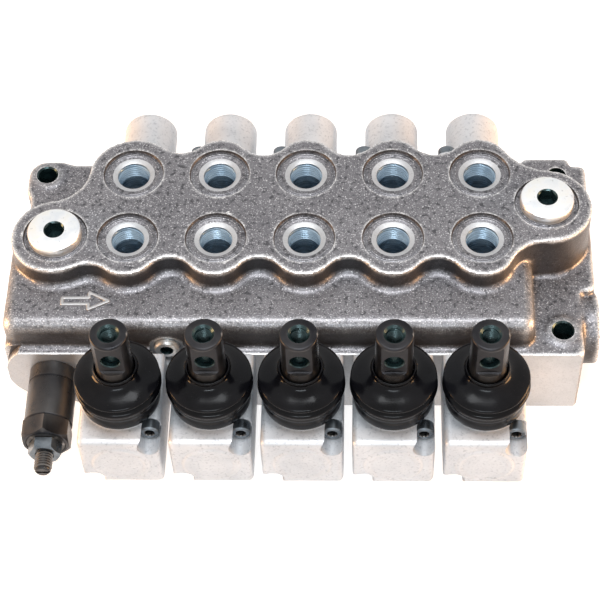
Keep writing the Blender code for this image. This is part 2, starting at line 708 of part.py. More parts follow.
def lever_box_mesh():
    """Open-backed casting with the spool chamber, the ball seat and its two screws."""
    low = (-BOX_WIDTH / 2, BOX_FRONT_Y, BOX_BOTTOM)
    high = (BOX_WIDTH / 2, BOX_REAR_Y, BOX_TOP)
    neck_top = BOX_TOP + NECK_HEIGHT
    seat = math.sqrt((BALL_R + FIT) ** 2 - BALL_SEAT_R**2)
    ring_floor = PIVOT_Z + RING_FOOT - FIT
    ball_bore = [
        (0, SPOOL_Z + MARGIN),
        (BALL_SEAT_R, SPOOL_Z + MARGIN),
        (BALL_SEAT_R, PIVOT_Z - seat),
        (BALL_R + 2 * FIT, PIVOT_Z - seat + BALL_SEAT_CHAMFER),
        (BALL_R + 2 * FIT, ring_floor),
        (RING_R + FIT, ring_floor),
        (RING_R + FIT, neck_top + MARGIN),
        (0, neck_top + MARGIN),
    ]
    boss_front = -BOX_FRONT_Y + BOX_BOSS_PROUD
    chamber_front = BOX_FRONT_Y + BOX_FRONT_WALL
    adds = [
        rod(NECK_R, BOX_TOP - OVERLAP, neck_top, ROUND_STEPS, at=(0, LEVER_Y, 0)),
        rod(BOX_BOSS_R, boss_front - OVERLAP, boss_front, ROUND_STEPS, TURN_TO_FRONT, (0, 0, SPOOL_Z)),
    ]
    cuts = [
        rod(BOX_CHAMBER_R, chamber_front, BOX_REAR_Y + MARGIN, FINE_STEPS, TURN_TO_Y, (0, 0, SPOOL_Z)),
        turned(ball_bore, ROUND_STEPS, at=(0, LEVER_Y, 0)),
    ]
    heads = []
    channel_end = BOX_FRONT_Y + SCREW_CHANNEL_LENGTH
    for x, rise in SCREW_POINTS:
        axis = (x, 0, SPOOL_Z + rise)
        cuts.append(rod(SCREW_CHANNEL_R, BOX_FRONT_Y - MARGIN, channel_end, COARSE_STEPS, TURN_TO_Y, axis))
        head_front = channel_end - SCREW_HEAD_HEIGHT
        heads.append(rod(SCREW_HEAD_R, head_front, channel_end + MARGIN, COARSE_STEPS, TURN_TO_Y, axis))
    casting = block(low, high, BOX_EDGE_R, 1, keep=((1, 1), (2, 0), (2, 1)))
    return shaped("lever_box", casting, adds, cuts, heads)


def ring_mesh():
    """Retaining ring that closes over the ball, with a wide mouth for the lever's tilt."""
    foot = RING_FOOT
    top = RING_FOOT + RING_HEIGHT
    inside = BALL_R + FIT
    profile = [
        (math.sqrt(inside**2 - foot**2), foot),
        (RING_R, foot),
        (RING_R, top),
        (RING_TOP_R, top),
        (RING_TOUCH_R, math.sqrt(inside**2 - RING_TOUCH_R**2)),
        (RING_MOUTH_R, math.sqrt(inside**2 - RING_MOUTH_R**2) + RING_LIP),
    ]
    return to_mesh(turned(profile), "ball_ring")


def lever_mesh():
    """Stub, shaft, ball and tongue in one turned piece; the origin is the ball's centre."""
    tongue_base = -LEVER_ARM
    profile = [(0, tongue_base - TONGUE_R)]
    for angle in (-math.pi / 4, 0.0):
        profile.append((TONGUE_R * math.cos(angle), tongue_base + TONGUE_R * math.sin(angle)))
    neck = math.sqrt(TONGUE_R**2 - TONGUE_SHANK_R**2)
    profile.append((TONGUE_SHANK_R, tongue_base + neck))
    ball_low = math.asin(TONGUE_SHANK_R / BALL_R) - math.pi / 2
    ball_high = math.pi / 2 - math.asin(SHAFT_R / BALL_R)
    for index in range(BALL_RINGS):
        angle = ball_low + (ball_high - ball_low) * index / (BALL_RINGS - 1)
        profile.append((BALL_R * math.cos(angle), BALL_R * math.sin(angle)))
    profile.extend(
        [
            (SHAFT_R, STUB_BASE - STUB_TAPER),
            (STUB_R, STUB_BASE),
            (STUB_R, STUB_TOP - STUB_EDGE),
            (STUB_R - STUB_EDGE, STUB_TOP),
            (LEVER_THREAD_R + LEVER_THREAD_CHAMFER, STUB_TOP),
            (LEVER_THREAD_R, STUB_TOP - LEVER_THREAD_CHAMFER),
            (LEVER_THREAD_R, STUB_TOP - LEVER_THREAD_DEPTH),
            (0, STUB_TOP - LEVER_THREAD_DEPTH),
        ]
    )
    hole_z = STUB_TOP - CROSS_HOLE_DROP
    flat_top = STUB_TOP - STUB_FLAT_DROP
    flat_low = (-STUB_R - MARGIN, -STUB_R - MARGIN, flat_top - STUB_FLAT_LENGTH)
    flat_high = (STUB_R + MARGIN, -STUB_FLAT_Y, flat_top)
    cuts = [
        block(flat_low, flat_high),
        rod(CROSS_HOLE_R, 0.0, STUB_R + MARGIN, COARSE_STEPS, TURN_TO_FRONT, (0, 0, hole_z)),
    ]
    return shaped("lever", turned(profile, ROUND_STEPS), cuts=cuts)


def boot_mesh():
    """Bellows between the neck of the box and the stub; heights count from the ball's centre."""
    foot = BOX_TOP + BOOT_FOOT_GAP - PIVOT_Z
    neck = BOX_TOP + NECK_HEIGHT - PIVOT_Z
    grip = STUB_R + FIT
    skirt = NECK_R + FIT
    profile = [
        (grip, BOOT_TOP),
        (BOOT_COLLAR_R, BOOT_TOP),
        (BOOT_COLLAR_R + BOOT_LIP, BOOT_TOP - BOOT_LIP_DROP),
        (BOOT_COLLAR_R + BOOT_FLARE, BOOT_TOP - BOOT_FLARE_DROP),
        (BOOT_RIM_R - BOOT_SHOULDER, BOOT_TOP - BOOT_SHOULDER_DROP),
        (BOOT_RIM_R, BOOT_TOP - BOOT_RIM_DROP),
        (BOOT_GROOVE_R, BOOT_TOP - BOOT_GROOVE_DROP),
        (BOOT_RIM_R, BOOT_TOP - BOOT_LOWER_RIM_DROP),
        (BOOT_RIM_R, BOOT_TOP - BOOT_RIM_END_DROP),
        (BOOT_SKIRT_R, BOOT_TOP - BOOT_SKIRT_DROP),
        (BOOT_SKIRT_R, foot),
        (skirt, foot),
        (skirt, neck + FIT),
        (BOOT_GROOVE_R - BOOT_WALL, BOOT_TOP - BOOT_GROOVE_DROP + BOOT_SHOULDER),
        (grip, BOOT_TOP - BOOT_FLARE_DROP - BOOT_ROOF),
    ]
    return to_mesh(turned(profile, ROUND_STEPS), "boot")


def spool_mesh():
    """Spool with its lands and necks, the eye at the front and the screw's hole at the rear."""
    front = LEVER_Y - EYE_REACH
    tank_groove = (TANK_FRONT_Y - TANK_GALLERY_R, -CHAMBER_HALF - TANK_LAP)
    pump_groove = (CHAMBER_HALF + PUMP_LAP, PORT_ROWS - CHAMBER_HALF - PUMP_LAP)
    rear_groove = (PORT_ROWS + CHAMBER_HALF + TANK_LAP, TANK_REAR_Y + TANK_REAR_R + MARGIN)
    hole = END_SCREW_R + FIT
    profile = [(0, front), (SPOOL_R, front)]
    for low, high in (tank_groove, pump_groove, rear_groove):
        profile.extend([(SPOOL_R, low), (SPOOL_NECK_R, low), (SPOOL_NECK_R, high), (SPOOL_R, high)])
    profile.extend([(SPOOL_R, REAR_Y), (hole, REAR_Y), (hole, REAR_Y - END_SCREW_DEPTH)])
    profile.append((0, REAR_Y - END_SCREW_DEPTH))
    flat_low = (-SPOOL_R - MARGIN, front - MARGIN, EYE_FLAT)
    flat_high = (SPOOL_R + MARGIN, LEVER_Y + EYE_REACH, SPOOL_R + MARGIN)
    eye = rod(TONGUE_R + FIT, -TONGUE_R - FIT, SPOOL_R + MARGIN, ROUND_STEPS, at=(0, LEVER_Y, 0))
    return shaped("spool", turned(profile, FINE_STEPS, TURN_TO_Y), cuts=[block(flat_low, flat_high), eye])


def end_screw_mesh():
    """Screw in the spool's rear end; its head holds the far end of the centring spring."""
    profile = [
        (0, REAR_Y - END_SCREW_DEPTH + FIT),
        (END_SCREW_R, REAR_Y - END_SCREW_DEPTH + FIT),
        (END_SCREW_R, SPRING_HEAD_Y),
        (END_HEAD_R, SPRING_HEAD_Y),
        (END_HEAD_R, SPRING_HEAD_Y + END_HEAD_HEIGHT),
        (0, SPRING_HEAD_Y + END_HEAD_HEIGHT),
    ]
    return to_mesh(turned(profile, FINE_STEPS, TURN_TO_Y), "spool_end_screw")


def centring_spring_mesh():
    wire = (SPRING_WIRE_WIDTH, SPRING_WIRE_HEIGHT)
    bm = helix(SPRING_MEAN_R, *wire, SPRING_FOOT_Y, SPRING_HEAD_Y - FIT, SPRING_TURNS)
    bmesh.ops.transform(bm, matrix=TURN_TO_Y.to_4x4(), verts=bm.verts)
    return to_mesh(bm, "centring_spring")


def rear_cap_mesh():
    """Cast cup over the centring spring, on a two-screw flange."""
    end = CAP_FOOT_Y + CAP_LENGTH
    stop = SPRING_HEAD_Y + END_HEAD_HEIGHT + CAP_STOP_GAP
    cup = [(0, CAP_FOOT_Y), (CAP_R, CAP_FOOT_Y)]
    cup.extend(arc((CAP_R - CAP_EDGE_R, end - CAP_EDGE_R), CAP_EDGE_R, 0.0, math.pi / 2, math.radians(30)))
    cup.append((0, end))
    hollow = [
        (0, CAP_FOOT_Y - MARGIN),
        (CAP_R - CAP_WALL, CAP_FOOT_Y - MARGIN),
        (CAP_R - CAP_WALL, SPRING_HEAD_Y),
        (END_HEAD_R + FIT, SPRING_HEAD_Y),
        (END_HEAD_R + FIT, stop),
        (0, stop),
    ]
    flange = bmesh.new()
    for x, rise in ((0.0, 0.0), (-SCREW_X, SCREW_RISE), (SCREW_X, -SCREW_RISE)):
        radius = CAP_R + FLANGE_PROUD if x == 0 else SCREW_HEAD_R + FLANGE_RIM
        for px, pz in arc((x, rise), radius, 0.0, 2 * math.pi, math.radians(45))[:-1]:
            for y in (CAP_FOOT_Y, CAP_FOOT_Y + CAP_FLANGE):
                flange.verts.new((px, y, pz))
    bmesh.ops.convex_hull(flange, input=flange.verts)
    inside = [vert for vert in flange.verts if not vert.link_faces]
    bmesh.ops.delete(flange, geom=inside, context="VERTS")
    bmesh.ops.recalc_face_normals(flange, faces=flange.faces)
    adds = [turned(cup, ROUND_STEPS, TURN_TO_Y)]
    for x, rise in ((-SCREW_X, SCREW_RISE), (SCREW_X, -SCREW_RISE)):
        head_end = CAP_FOOT_Y + CAP_FLANGE + SCREW_HEAD_HEIGHT
        adds.append(rod(SCREW_HEAD_R, CAP_FOOT_Y + MARGIN, head_end, COARSE_STEPS, TURN_TO_Y, (x, 0, rise)))
    return shaped("rear_cap", flange, adds, [turned(hollow, FINE_STEPS, TURN_TO_Y)])


def wiper_mesh():
    """Seal ring in the counterbore at the front end of the spool's bore."""
    profile = [
        (BORE_R, FRONT_Y + FIT),
        (BORE_R + SEAL_LIP, FRONT_Y + FIT),
        (SEAL_R - FIT, FRONT_Y + SEAL_LIP),
        (SEAL_R - FIT, FRONT_Y + SEAL_DEPTH - FIT),
        (BORE_R, FRONT_Y + SEAL_DEPTH - FIT),
    ]
    return to_mesh(turned(profile, FINE_STEPS, TURN_TO_Y), "spool_wiper")


def cartridge_mesh():
    """Relief cartridge; heights count outwards from the front face."""
    thread = RELIEF_STUD_R + FIT
    hex_end = RELIEF_BODY_LENGTH + RELIEF_HEX_LENGTH
    inner_end = RELIEF_WALL - RELIEF_NOSE
    outside = [
        (0, -RELIEF_NOSE),
        (RELIEF_SHANK_R - RELIEF_CHAMFER, -RELIEF_NOSE),
        (RELIEF_SHANK_R, -RELIEF_NOSE + RELIEF_CHAMFER),
        (RELIEF_SHANK_R, FIT),
        (RELIEF_BODY_R, FIT),
        (RELIEF_BODY_R, RELIEF_BODY_LENGTH),
        (RELIEF_BODY_R - RELIEF_CHAMFER, hex_end),
        (0, hex_end),
    ]
    inside = [
        (0, -RELIEF_NOSE - MARGIN),
        (RELIEF_SEAT_R, -RELIEF_NOSE - MARGIN),
        (RELIEF_SEAT_R, inner_end),
        (RELIEF_BORE_R, inner_end),
        (RELIEF_BORE_R, RELIEF_BODY_LENGTH - 2 * MARGIN),
        (thread, RELIEF_BODY_LENGTH - MARGIN),
        (thread, hex_end + MARGIN),
        (0, hex_end + MARGIN),
    ]
    turn = Matrix.Rotation(RELIEF_HEX_TURN, 3, "Z")
    nut = hex_bar(RELIEF_HEX, RELIEF_BODY_LENGTH - MARGIN, hex_end - RELIEF_CHAMFER / 2, turn)
    drain_at = (0, 0, FRONT_Y - TANK_FRONT_Y)
    drain = rod(RELIEF_DRAIN_R, -RELIEF_BODY_R, RELIEF_BODY_R, COARSE_STEPS, TURN_TO_X, drain_at)
    return shaped("relief_cartridge", turned(outside), [nut], [turned(inside, FINE_STEPS), drain])


def stud_mesh():
    """Adjusting screw with a slotted tip; its inner end bears on the spring seat."""
    inner = RELIEF_SPRING_FOOT + SEAT_THICKNESS + FIT
    tip = RELIEF_STUD_TIP
    profile = [
        (0, inner),
        (RELIEF_STUD_R, inner),
        (RELIEF_STUD_R, tip - RELIEF_STUD_EDGE),
        (RELIEF_STUD_R - RELIEF_STUD_EDGE, tip),
        (0, tip),
    ]
    half = RELIEF_SLOT_WIDTH / 2
    slot = block(
        (-RELIEF_STUD_R - MARGIN, -half, tip - RELIEF_SLOT_DEPTH),
        (RELIEF_STUD_R + MARGIN, half, tip + MARGIN),
    )
    return shaped("relief_adjusting_screw", turned(profile, FINE_STEPS), cuts=[slot])


def lock_nut_mesh():
    low = RELIEF_BODY_LENGTH + RELIEF_HEX_LENGTH + FIT
    bore = rod(RELIEF_STUD_R + FIT, low - MARGIN, low + NUT_HEIGHT + MARGIN, FINE_STEPS)
    return shaped("relief_lock_nut", hex_bar(NUT_HEX, low, low + NUT_HEIGHT), cuts=[bore])


def seat_mesh():
    """Spring seat, pushed in by the adjusting screw."""
    low = RELIEF_SPRING_FOOT
    profile = [
        (0, low - SEAT_SPIGOT),
        (SPIGOT_R, low - SEAT_SPIGOT),
        (SPIGOT_R, low),
        (RELIEF_BORE_R - FIT, low),
        (RELIEF_BORE_R - FIT, low + SEAT_THICKNESS),
        (0, low + SEAT_THICKNESS),
    ]
    return to_mesh(turned(profile, FINE_STEPS), "relief_spring_seat")


def cone_poppet(seat_r, seat_height, radius, length, spigot):
    """Poppet whose cone meets a seat's edge from above, with a spigot for its spring."""
    tip = seat_height - seat_r + FIT * math.sqrt(2)
    shoulder = tip + radius + length
    profile = [
        (0, tip),
        (radius, tip + radius),
        (radius, shoulder),
        (spigot, shoulder),
        (spigot, shoulder + SPIGOT_LENGTH),
        (0, shoulder + SPIGOT_LENGTH),
    ]
    return turned(profile, FINE_STEPS), shoulder


def make_relief_valve(black, zinc, steel):
    at = (RELIEF_X, FRONT_Y, SPOOL_Z)
    place("relief_cartridge", cartridge_mesh(), black, at)
    place("relief_adjusting_screw", stud_mesh(), black, at)
    place("relief_lock_nut", lock_nut_mesh(), zinc, at)
    place("relief_spring_seat", seat_mesh(), steel, at)
    seat_height = RELIEF_WALL - RELIEF_NOSE
    poppet, shoulder = cone_poppet(RELIEF_SEAT_R, seat_height, POPPET_R, POPPET_LENGTH, SPIGOT_R)
    place("relief_poppet", to_mesh(poppet, "relief_poppet"), steel, at)
    wire = (RELIEF_WIRE, RELIEF_WIRE)
    coil = helix(RELIEF_SPRING_R, *wire, shoulder + FIT, RELIEF_SPRING_FOOT - FIT, RELIEF_TURNS)
    place("relief_spring", to_mesh(coil, "relief_spring"), steel, at)
    for obj in bpy.context.scene.objects:
        if obj.name.startswith("relief_"):
            obj.rotation_euler = TURN_TO_FRONT.to_euler()


def make_check_valve(black, steel):
    outer = -FRONT_Y
    inner = outer - CHECK_PLUG_LENGTH
    plug = rod(CHECK_BORE_R - FIT, inner, outer, FINE_STEPS)
    socket = hex_bar(CHECK_HEX, outer - CHECK_HEX_DEPTH, outer + MARGIN)
    at = (CHECK_X, 0, CHECK_Z)
    pieces = [place("check_plug", shaped("check_plug", plug, cuts=[socket]), black, at)]
    radius = CHECK_BORE_R - FIT
    poppet, shoulder = cone_poppet(CHECK_SEAT_R, -CHECK_SEAT_Y, radius, CHECK_POPPET_LENGTH, SPIGOT_R)
    pieces.append(place("check_poppet", to_mesh(poppet, "check_poppet"), steel, at))
    coil = helix(CHECK_SPRING_R, RELIEF_WIRE, RELIEF_WIRE, shoulder + FIT, inner - FIT, CHECK_TURNS)
    pieces.append(place("check_spring", to_mesh(coil, "check_spring"), steel, at))
    for piece in pieces:
        piece.rotation_euler = TURN_TO_FRONT.to_euler()


def plug_mesh():
    """Port plug with a round head and a hexagon socket; the origin is on the body's top face."""
    foot = FIT - SPOTFACE_DEPTH
    top = foot + PLUG_HEAD_HEIGHT
    shank = PORT_BORE_R - FIT
    profile = [
        (0, foot - PLUG_SHANK_LENGTH),
        (shank - PLUG_TIP, foot - PLUG_SHANK_LENGTH),
        (shank, foot - PLUG_SHANK_LENGTH + PLUG_TIP),
        (shank, foot),
        (PLUG_HEAD_R, foot),
        (PLUG_HEAD_R, top - PLUG_EDGE),
        (PLUG_HEAD_R - PLUG_EDGE, top),
        (0, top),
    ]
    socket = hex_bar(PLUG_HEX, top - PLUG_HEX_DEPTH, top + MARGIN)
    return shaped("port_plug", turned(profile, ROUND_STEPS), cuts=[socket])


def main():
    clear_scene()
    iron = make_material("cast_iron", (0.36, 0.36, 0.36), 0.5, 0.7)
    aluminium = make_material("cast_aluminium", (0.78, 0.79, 0.8), 0.45, 0.6)
    rubber = make_material("rubber", (0.015, 0.015, 0.017), 0.25, 0.0)
    black = make_material("black_oxide_steel", (0.03, 0.03, 0.035), 0.35, 0.8)
    steel = make_material("ground_steel", (0.6, 0.61, 0.63), 0.2, 1.0)
    zinc = make_material("zinc_plate", (0.82, 0.84, 0.86), 0.3, 0.9)
    seal = make_material("seal", (0.02, 0.02, 0.02), 0.5, 0.0)

    place("valve_body", body_mesh(), iron)
    ball = (LEVER_Y, PIVOT_Z)
    spool = (0, SPOOL_Z)
    section_pieces = (
        ("lever_box", lever_box_mesh(), aluminium, (0, 0)),
        ("ball_ring", ring_mesh(), steel, ball),
        ("lever", lever_mesh(), black, ball),
        ("boot", boot_mesh(), rubber, ball),
        ("spool", spool_mesh(), steel, spool),
        ("spool_end_screw", end_screw_mesh(), steel, spool),
        ("centring_spring", centring_spring_mesh(), steel, spool),
        ("rear_cap", rear_cap_mesh(), aluminium, spool),
        ("spool_wiper", wiper_mesh(), seal, spool),
    )
    for number, x in enumerate(COLUMNS, start=1):
        for name, mesh, material, (y, z) in section_pieces:
            place(f"{name}_{number}", mesh, material, (x, y, z))

    make_relief_valve(black, zinc, steel)
    make_check_valve(black, steel)
    plug = plug_mesh()
    for name, (x, y) in zip(("pump_port_plug", "tank_port_plug"), PLUG_POINTS):
        place(name, plug, zinc, (x, y, BODY_HEIGHT))


main()
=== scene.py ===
import math

import bmesh
import bpy
import numpy
from mathutils import Matrix, Vector, noise


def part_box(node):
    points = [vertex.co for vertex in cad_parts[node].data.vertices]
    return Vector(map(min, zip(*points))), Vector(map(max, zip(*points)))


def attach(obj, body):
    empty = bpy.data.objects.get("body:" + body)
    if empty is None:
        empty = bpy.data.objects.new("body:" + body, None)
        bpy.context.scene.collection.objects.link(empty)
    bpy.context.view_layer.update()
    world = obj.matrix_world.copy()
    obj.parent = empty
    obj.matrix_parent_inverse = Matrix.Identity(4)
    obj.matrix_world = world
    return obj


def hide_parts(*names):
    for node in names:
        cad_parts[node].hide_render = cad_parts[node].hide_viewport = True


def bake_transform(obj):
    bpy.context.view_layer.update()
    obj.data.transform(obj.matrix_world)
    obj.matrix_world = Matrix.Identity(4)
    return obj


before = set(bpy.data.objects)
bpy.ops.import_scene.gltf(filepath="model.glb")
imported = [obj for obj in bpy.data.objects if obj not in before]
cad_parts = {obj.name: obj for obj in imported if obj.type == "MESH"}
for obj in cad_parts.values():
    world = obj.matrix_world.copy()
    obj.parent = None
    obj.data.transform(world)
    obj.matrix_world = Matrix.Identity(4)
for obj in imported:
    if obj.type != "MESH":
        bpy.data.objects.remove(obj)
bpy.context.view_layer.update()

# Lengths below are in millimetres, in the frame of the CAD model
MM = 0.001
MARGIN = 1.0
OVERLAP = 2.0
FIT = 0.3

# Bank of sections, from the frame's own nodes
levers = sorted(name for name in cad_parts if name.startswith("lever_") and "box" not in name)
centres = [sum(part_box(name), Vector()) / 2 / MM for name in levers]
COLUMNS = [centre.x for centre in centres]
LEVER_Y = centres[0].y
STUB_TOP_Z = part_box("lever_1")[1].z / MM
PORT_ROWS = 37.3
SPOOL_Z = 26.5
PIVOT_Z = 46.5

# Casting
BODY_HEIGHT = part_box("valve_body")[1].z / MM
LEFT_X = -135.5
STEP_X = 132.3
RIGHT_X = 125.5
FRONT_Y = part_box("valve_body")[0].y / MM
REAR_Y = 64.3
LEDGE_Z = 42.5
SHELF_Z = 58.0
SHELF_FRONT_Y = FRONT_Y + 4.3
SHELF_RIGHT_X = 103.0
SHELF_REAR_Y = 8.0
REAR_STEP_Y = -11.0
SHELF_EDGE_R = 5.6
CORNER_R = 4.0
FACE_BOSS_R = 21.4
LOBE_REACH = 20.6
LOBE_R = 14.1
VALLEY_R = 11.5
REAR_VALLEY_R = 12.5
REAR_END_LOBE_R = 20.6
PUMP_LOBE_R = 20.3
PUMP_FRONT_FILLET_R = 12.0
PUMP_REAR_FILLET_R = 18.0
TANK_LOBE_R = 20.6
TANK_LOBE_SETBACK = 1.2
TANK_FRONT_FILLET_R = 17.0
TANK_REAR_FILLET_R = 25.0
PORT_BORE_R = 7.5
PORT_CHAMFER_R = 9.75
PORT_CHAMFER_DEPTH = 0.8
SPOTFACE_R = 13.5
SPOTFACE_DEPTH = 1.2
PLUG_SPOTFACE_R = 14.2
PLUG_POINTS = ((-113.0, 1.3), (109.8, 19.7))
PLUG_HEAD_R = 12.2
PUMP_AXIS = (0.0, PORT_ROWS / 2, 32.0)
TANK_AXIS = (0.0, -21.0, SPOOL_Z)
TANK_REAR_AXIS = (0.0, PORT_ROWS + 13.2, SPOOL_Z)
TANK_FACE_X = 133.5
TANK_BOSS_R = 15.6
SIDE_PORT_DEPTH = 12.0
RELIEF_X = -114.5
RELIEF_BODY_R = 10.9
CHECK_X = (COLUMNS[0] + COLUMNS[1]) / 2 - 1.7
CHECK_Z = 41.5
MOUNT_HOLES = ((-125.9, 57.2), (118.4, 57.2), (116.3, -33.1))
MOUNT_HOLE_R = 4.5
MOUNT_LUG_R = 9.2
PAD_R = 7.6
PAD_TOP = LEDGE_Z + 0.8
SPOOL_R = 7.7
BORE_R = SPOOL_R + FIT

# Lever box, lever and boot
BOX_REAR_Y = FRONT_Y - FIT
BOX_FRONT_Y = BOX_REAR_Y - 47.2
BOX_TOP = SPOOL_Z + 16.8
BOX_BOTTOM = SPOOL_Z - 16.0
BOX_HALF = 18.0
NECK_R = 15.5
NECK_TOP = BOX_TOP + 8.5
BALL_R = 8.0
SCREW_X = 13.3
SCREW_RISE = 12.9
SCREW_HEAD_R = 4.25
SCREW_HEAD_HEIGHT = 5.0
CHANNEL_R = 5.1
CHANNEL_LENGTH = 13.0
STUB_R = 8.15
THREAD_R = 3.7
CAP_R = 13.0
CAP_FOOT_Y = REAR_Y + FIT
CAP_LENGTH = 36.5
CAP_FLANGE = 5.5

# Hexagons across their flats, and threads
SCREW_HEX = 4.0
CHECK_PLUG_HEX = 5.0
PORT_PLUG_HEX = 8.0
LOCK_NUT_HEX = 13.0
RELIEF_HEX = 20.5
PORT_PITCH = 1.337
FINE_PITCH = 1.25
RIDGE_HEIGHT = 0.5
THREAD_START = 2.9

# Side of the boxes that bound cutters and skins beyond the object
WIDE = 200.0

TURN_TO_Y = Matrix.Rotation(-math.pi / 2, 3, "X")
TURN_TO_FRONT = Matrix.Rotation(math.pi / 2, 3, "X")
TURN_TO_X = Matrix.Rotation(math.pi / 2, 3, "Y")
TURN_TO_LEFT = TURN_TO_X.inverted()

# Outlet and inlet, at the right and left ends
SIDE_PORTS = ((TURN_TO_X, (TANK_FACE_X, *TANK_AXIS[1:])), (TURN_TO_LEFT, (LEFT_X, *PUMP_AXIS[1:])))

# Material index of each finish on a carved piece
RAW = 0
MACHINED = 1
BORED = 2
FACED = 3
SHADED = 4

# Sockets of the Mix node that take and give colours
FACTOR = 0
COLOUR_A = 6
COLOUR_B = 7
MIXED_COLOUR = 2


# Shape helpers

def arc(centre, radius, start, end, step=math.radians(7)):
    """Points from one angle to another, both ends included."""
    count = max(1, math.ceil(abs(end - start) / step - 0.01))
    points = []
    for index in range(count + 1):
        angle = start + (end - start) * index / count
        points.append((centre[0] + radius * math.cos(angle), centre[1] + radius * math.sin(angle)))
    return points


def rounded_outline(corners):
    """Polygon from (x, y, corner radius), with each corner turned into an arc."""
    points = []
    for index, (x, y, radius) in enumerate(corners):
        corner = Vector((x, y))
        before = (Vector(corners[index - 1][:2]) - corner).normalized()
        after = (Vector(corners[(index + 1) % len(corners)][:2]) - corner).normalized()
        if radius <= 0:
            points.append((x, y))
            continue
        half = before.angle(after) / 2
        reach = radius / math.tan(half)
        centre = corner + (before + after).normalized() * radius / math.sin(half)
        first = corner + before * reach - centre
        last = corner + after * reach - centre
        start = math.atan2(first.y, first.x)
        sweep = (math.atan2(last.y, last.x) - start + math.pi) % (2 * math.pi) - math.pi
        points.extend(arc(centre, radius, start, start + sweep))
    return [b for a, b in zip([points[-1], *points], points) if math.dist(a, b) > 1e-3]


def lobed_outline(lobes):
    """Chain of circles (x, y, radius, fillet to the next), joined by hollow arcs outside them."""
    fillets = []
    for index, (x, y, radius, fillet) in enumerate(lobes):
        *there, next_radius, _ = lobes[(index + 1) % len(lobes)]
        here, there = Vector((x, y)), Vector(there)
        span = (there - here).length
        along = (there - here) / span
        outward = Vector((along.y, -along.x))
        near, far = radius + fillet, next_radius + fillet
        run = (near**2 - far**2 + span**2) / (2 * span)
        centre = here + along * run + outward * math.sqrt(near**2 - run**2)
        fillets.append((centre, here - centre, there - centre))
    points = []
    for index, (x, y, radius, fillet) in enumerate(lobes):
        _, _, arriving = fillets[index - 1]
        centre, leaving, landing = fillets[index]
        start = math.atan2(-arriving.y, -arriving.x)
        end = math.atan2(-leaving.y, -leaving.x)
        end += 2 * math.pi * (end < start)
        points.extend(arc((x, y), radius, start, end)[:-1])
        start = math.atan2(leaving.y, leaving.x)
        end = math.atan2(landing.y, landing.x)
        end -= 2 * math.pi * (end > start)
        points.extend(arc(centre, fillet, start, end, math.radians(12))[:-1])
    return points


def finished(bm, finish):
    """The form with one finish on all its faces."""
    for face in bm.faces:
        face.material_index = finish
    return bm


def placed(bm, turn, at):
    """The form with its normals outward, turned and then moved."""
    bmesh.ops.recalc_face_normals(bm, faces=bm.faces)
    matrix = Matrix.Translation(at)
    if turn:
        matrix = matrix @ turn.to_4x4()
    bmesh.ops.transform(bm, matrix=matrix, verts=bm.verts)
    return bm


def prism(outline, low, high, edge=0.0, turn=None, at=(0, 0, 0), finish=RAW):
    """Outline extruded along Z, with its upper edge rounded off."""
    bm = bmesh.new()
    floor = bm.faces.new([bm.verts.new((x, y, low)) for x, y in outline])
    top = bmesh.ops.extrude_face_region(bm, geom=[floor])["geom"]
    top_verts = [item for item in top if isinstance(item, bmesh.types.BMVert)]
    bmesh.ops.translate(bm, verts=top_verts, vec=(0, 0, high - low))
    bmesh.ops.recalc_face_normals(bm, faces=bm.faces)
    if edge:
        rim = [e for e in bm.edges if all(abs(v.co.z - high) < 1e-6 for v in e.verts)]
        bmesh.ops.bevel(bm, geom=rim, offset=edge, segments=4, profile=0.5, affect="EDGES")
    return finished(placed(bm, turn, at), finish)


def block(low, high, edge=0.0, segments=4, finish=RAW):
    """Box between two corners with rounded edges."""
    bm = bmesh.new()
    bmesh.ops.create_cube(bm, size=1.0)
    bmesh.ops.scale(bm, vec=[b - a for a, b in zip(low, high)], verts=bm.verts)
    bmesh.ops.translate(bm, vec=[(a + b) / 2 for a, b in zip(low, high)], verts=bm.verts)
    if edge:
        bmesh.ops.bevel(
            bm, geom=bm.edges, offset=edge, segments=segments, profile=0.5, affect="EDGES"
        )
    return finished(bm, finish)


def turned(profile, steps=48, turn=None, at=(0, 0, 0), finish=RAW):
    """Solid of revolution from (radius, height) points; one that leaves the axis is a ring."""
    bm = bmesh.new()
    verts = [bm.verts.new((radius, 0, height)) for radius, height in profile]
    edges = [bm.edges.new(pair) for pair in zip(verts, verts[1:])]
    if profile[0][0] > 0 or profile[-1][0] > 0:
        edges.append(bm.edges.new((verts[-1], verts[0])))
    bmesh.ops.spin(
        bm,
        geom=verts + edges,
        cent=(0, 0, 0),
        axis=(0, 0, 1),
        angle=2 * math.pi,
        steps=steps,
        use_merge=True,
    )
    bmesh.ops.remove_doubles(bm, verts=bm.verts, dist=1e-4)
    return finished(placed(bm, turn, at), finish)


def stepped(start, *stages):
    """Profile of a bore from its start through stages of (radius, end)."""
    profile = [(0, start)]
    for radius, end in stages:
        profile.extend([(radius, start), (radius, end)])
        start = end
    return [*profile, (0, start)]


def rod(radius, low, high, steps=48, turn=None, at=(0, 0, 0), finish=RAW):
    return turned(stepped(low, (radius, high)), steps, turn, at, finish)


def hexagon(across_flats):
    radius = across_flats / math.sqrt(3)
    angles = [i * math.pi / 3 for i in range(6)]
    return [(radius * math.cos(angle), radius * math.sin(angle)) for angle in angles]


def socket(across_flats, floor, mouth, turn=None, at=(0, 0, 0), finish=BORED):
    """Hexagon socket's cutter, with a cone at its mouth."""
    radius = across_flats / math.sqrt(3)
    well = prism(hexagon(across_flats), floor, mouth + MARGIN, turn=turn, at=at, finish=finish)
    low, high = mouth - 0.9, mouth + 0.4
    cone = [(0, low), (radius - 0.75, low), (radius + 0.55, high), (0, high)]
    return [well, turned(cone, 48, turn, at, finish)]


